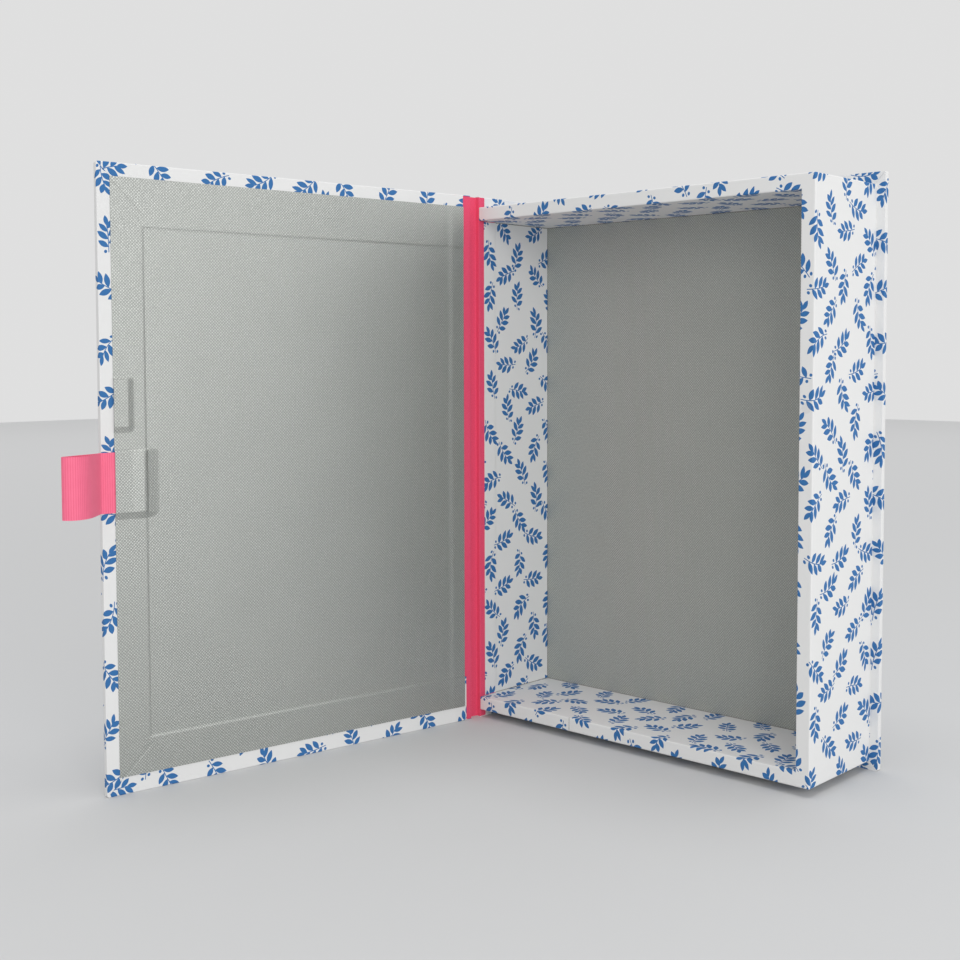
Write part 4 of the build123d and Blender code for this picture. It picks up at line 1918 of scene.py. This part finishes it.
@dataclass
class PullTab:
    """Ribbon pull tab: two glued tails and the loop between them, in one piece."""

    material: bpy.types.Material
    thick: float = 0.35
    tail_short: float = 22.2
    tail_long: float = 23.4
    ply_gap: float = 0.05
    start: float = 0.7
    start_lift: float = 0.12
    glued_to: float = 1.5
    hem: float = 0.15
    bands: int = 12
    bend: Pair = (0.1, 3.2)
    bend_rise: float = 2.0
    points: tuple[Pair, ...] = (
        (2.3, 2.55), (5.0, 6.05), (9.6, 12.0), (13.0, 15.4), (16.5, 17.5), (20.4, 18.4), (24.0, 17.2),
        (25.9, 14.6), (24.2, 12.4), (19.0, 9.8), (12.6, 6.8), (6.8, 4.3), (2.9, 1.9),
    )

    def build(self) -> bpy.types.Object:
        """Make the ribbon.

        Returns:
            The finished piece.
        """
        path = smooth_path(self._knots(), pull=0.36, spacing=0.7)
        height, width = SIZES.tab_height, SIZES.tab_width
        low, high = height - width / 2, height + width / 2
        between = (low + width * band / self.bands for band in range(1, self.bands))
        rows = [low + self.hem, *between, high - self.hem]
        bm = path_sheet(path, rows)
        made = Piece(
            "pull_tab_ribbon", bm, SIZES.lid, None, Slot.RIBBON, self.material,
            ("pull_tab_tails", "pull_tab_loop"), self.thick, offset=0.0,
        ).build()
        root = SIZES.thick + self.thick
        start = (SIZES.lid_width + self.bend[0], root, height)
        end = (SIZES.lid_width + self.bend[1], root + self.bend_rise, height)
        bend_between(made, SIZES.lid, start, end)
        return made

    def _knots(self) -> list[Vector]:
        """Place the ribbon's middle line, from the short tail's end to the long tail's.

        Returns:
            Knots of the line. Those past the lid's fore-edge are chosen from the photograph.
        """
        front = self.thick * 1.5 + self.ply_gap
        back = self.thick / 2
        line = [
            (-self.tail_short, front),
            (-self.tail_short / 2, front),
            (-self.glued_to, front),
            (self.start, front + self.start_lift),
            *self.points,
            (self.start, back),
            (-self.glued_to, back),
            (-self.tail_long / 2, back),
            (-self.tail_long, back),
        ]
        return [Vector((SIZES.lid_width + past, SIZES.thick + off)) for past, off in line]


# The solids that stay, light, floor and camera


@dataclass
class HiddenSolids:
    """Boards and metal that stay as the part has them, with their own finishes."""

    board: bpy.types.Material
    steel: bpy.types.Material
    nickel: bpy.types.Material

    def dress(self) -> None:
        """Give each solid its finish."""
        finishes = {
            "spine_board": self.board,
            "base_board": self.board,
            "head_wall": self.board,
            "tail_wall": self.board,
            "fore_edge_wall": self.board,
            "lid_board": self.board,
            "rim_magnet": self.nickel,
            "lid_steel_plate": self.steel,
        }
        for name, material in finishes.items():
            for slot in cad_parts[name].material_slots:
                slot.material = material
            LOG.info("%s: finish %s", name, material.name)


@dataclass(frozen=True)
class Lamp:
    """One soft square lamp, turned to the middle of the file."""

    name: str
    place: Point
    size: float
    power: float
    aim: Point = (0.0, 0.05, 0.16)

    def build(self) -> None:
        """Hang the lamp."""
        data = bpy.data.lights.new(self.name, "AREA")
        data.shape = "SQUARE"
        data.size = self.size
        data.energy = self.power
        lamp = put_in_scene(self.name, data)
        lamp.location = self.place
        lamp.rotation_euler = (Vector(self.aim) - Vector(self.place)).to_track_quat("-Z", "Y").to_euler()


@dataclass
class Studio:
    """Floor, surroundings, lamps and camera."""

    lamps: tuple[Lamp, ...] = (
        Lamp("top", (0.0, 0.1, 3.6), size=2.4, power=47.0),
        Lamp("right_front", (1.5, -0.9, 0.6), size=1.0, power=11.3),
        Lamp("right", (1.8, 0.45, 0.5), size=1.0, power=3.2),
    )
    world_strength: float = 0.61
    backdrop: float = 0.74
    floor_half: float = 4.0
    floor_near: Colour = (0.60, 0.605, 0.61, 1.0)
    floor_far: Colour = (0.80, 0.805, 0.81, 1.0)
    floor_reach: Pair = (400.0, 3600.0)
    camera_place: Point = (0.4722, -0.5019, 0.22965)
    heading: Pair = (-0.673, 0.740)
    pitch: float = -3.092
    roll: float = -0.091
    lens: float = 49.37
    sensor: float = 36.0
    shift: Pair = (-0.0285, -0.054)

    def build(self) -> None:
        """Set the stage."""
        bpy.context.scene.view_settings.view_transform = "Standard"
        self._floor()
        self._world()
        for lamp in self.lamps:
            lamp.build()
        self._camera()

    def _floor(self) -> None:
        """Lay a pale floor, painted darker near the file and lighter far out to make up for the lamps'
        falloff.
        """
        bm = bmesh.new()
        bmesh.ops.create_grid(bm, x_segments=2, y_segments=2, size=self.floor_half)
        mesh = bpy.data.meshes.new("floor")
        bm.to_mesh(mesh)
        bm.free()
        material, graph, shader = new_material("studio_floor", {"Roughness": 0.9})
        # Painted light: the colour goes from floor_near by the file to floor_far far out, evening out the
        # lamps' falloff.
        outward = graph.ramp(graph.measured("LENGTH", object_place(graph)), *self.floor_reach)
        graph.feed(shader.inputs["Base Color"], graph.mixed(outward, self.floor_near, self.floor_far))
        mesh.materials.append(material)
        put_in_scene("floor", mesh)

    def _world(self) -> None:
        """Light softly from all round, and show a pale backdrop to the camera."""
        world = bpy.data.worlds.new("studio")
        bpy.context.scene.world = world
        world.use_nodes = True
        graph = Graph(world.node_tree)
        backdrop = world.node_tree.nodes["Background"]
        backdrop.inputs["Color"].default_value = (1.0, 1.0, 1.0, 1.0)
        path = graph.node("ShaderNodeLightPath")
        seen = graph.math("MAXIMUM", path.outputs["Is Camera Ray"], path.outputs["Is Glossy Ray"])
        seen = graph.math("MAXIMUM", seen, path.outputs["Is Transmission Ray"])
        glow = graph.math("MULTIPLY_ADD", seen, self.backdrop - self.world_strength, self.world_strength)
        graph.feed(backdrop.inputs["Strength"], glow)

    def _camera(self) -> None:
        """Stand the camera where the photograph was taken."""
        data = bpy.data.cameras.new("camera")
        data.lens = self.lens
        data.sensor_width = self.sensor
        data.shift_x, data.shift_y = self.shift
        data.clip_start = 0.01
        camera = put_in_scene("camera", data)
        tilt = math.radians(self.pitch)
        ahead = Vector((self.heading[0] * math.cos(tilt), self.heading[1] * math.cos(tilt), math.sin(tilt)))
        turn = ahead.to_track_quat("-Z", "Y").to_matrix().to_4x4()
        roll = Matrix.Rotation(math.radians(self.roll), 4, "Z")
        camera.matrix_world = Matrix.Translation(self.camera_place) @ turn @ roll
        bpy.context.scene.camera = camera


def main() -> None:
    """Build the dressed box file."""
    logging.basicConfig(level=logging.INFO, format="%(name)s %(message)s")
    shaders = Shaders()
    magnet = tuple(start + part for start, part in zip(SIZES.origin, SIZES.magnet))
    paper = PrintedPaper(shaders).make()
    wall_paper = PrintedPaper(shaders, name="wall_paper", shift=(0.12, 0.63, 0.0), magnet=magnet).make()
    grey = BookCloth(
        shaders, "grey_book_cloth", light=(0.66, 0.678, 0.644, 1.0), dark=(0.26, 0.27, 0.257, 1.0),
        pitch=0.84, relief=0.00014, roughness=0.35, sheen=0.0, metallic=0.84,
    )
    # Painted shade: the tray floor takes a darker, rougher, less metallic copy of the lid's grey cloth; its
    # darker colour stands in for the shade inside the tray.
    duller = replace(
        grey, name="grey_book_cloth_floor", light=(0.585, 0.605, 0.565, 1.0),
        dark=(0.235, 0.247, 0.23, 1.0), roughness=0.55, metallic=0.25,
    )
    pink = BookCloth(
        shaders, "pink_book_cloth", light=(0.94, 0.098, 0.21, 1.0), dark=(0.75, 0.051, 0.122, 1.0),
        pitch=0.35,
    )
    LidCover(paper).build()
    TrayCover(paper).build()
    WallWrap(wall_paper).build()
    SpinePaper(wall_paper).build()
    FloorLining(duller.make()).build()
    LidLining(grey.make()).build()
    HingeCloth(pink.make()).build()
    PullTab(CordedRibbon(shaders).make()).build()
    HiddenSolids(
        Greyboard().make(),
        PlainMetal("keeper_steel", colour=(0.52, 0.53, 0.54, 1.0), roughness=0.34).make(),
        PlainMetal("nickel_plate", colour=(0.62, 0.61, 0.59, 1.0), roughness=0.2).make(),
    ).dress()
    Studio().build()


if __name__ == "__main__":
    main()
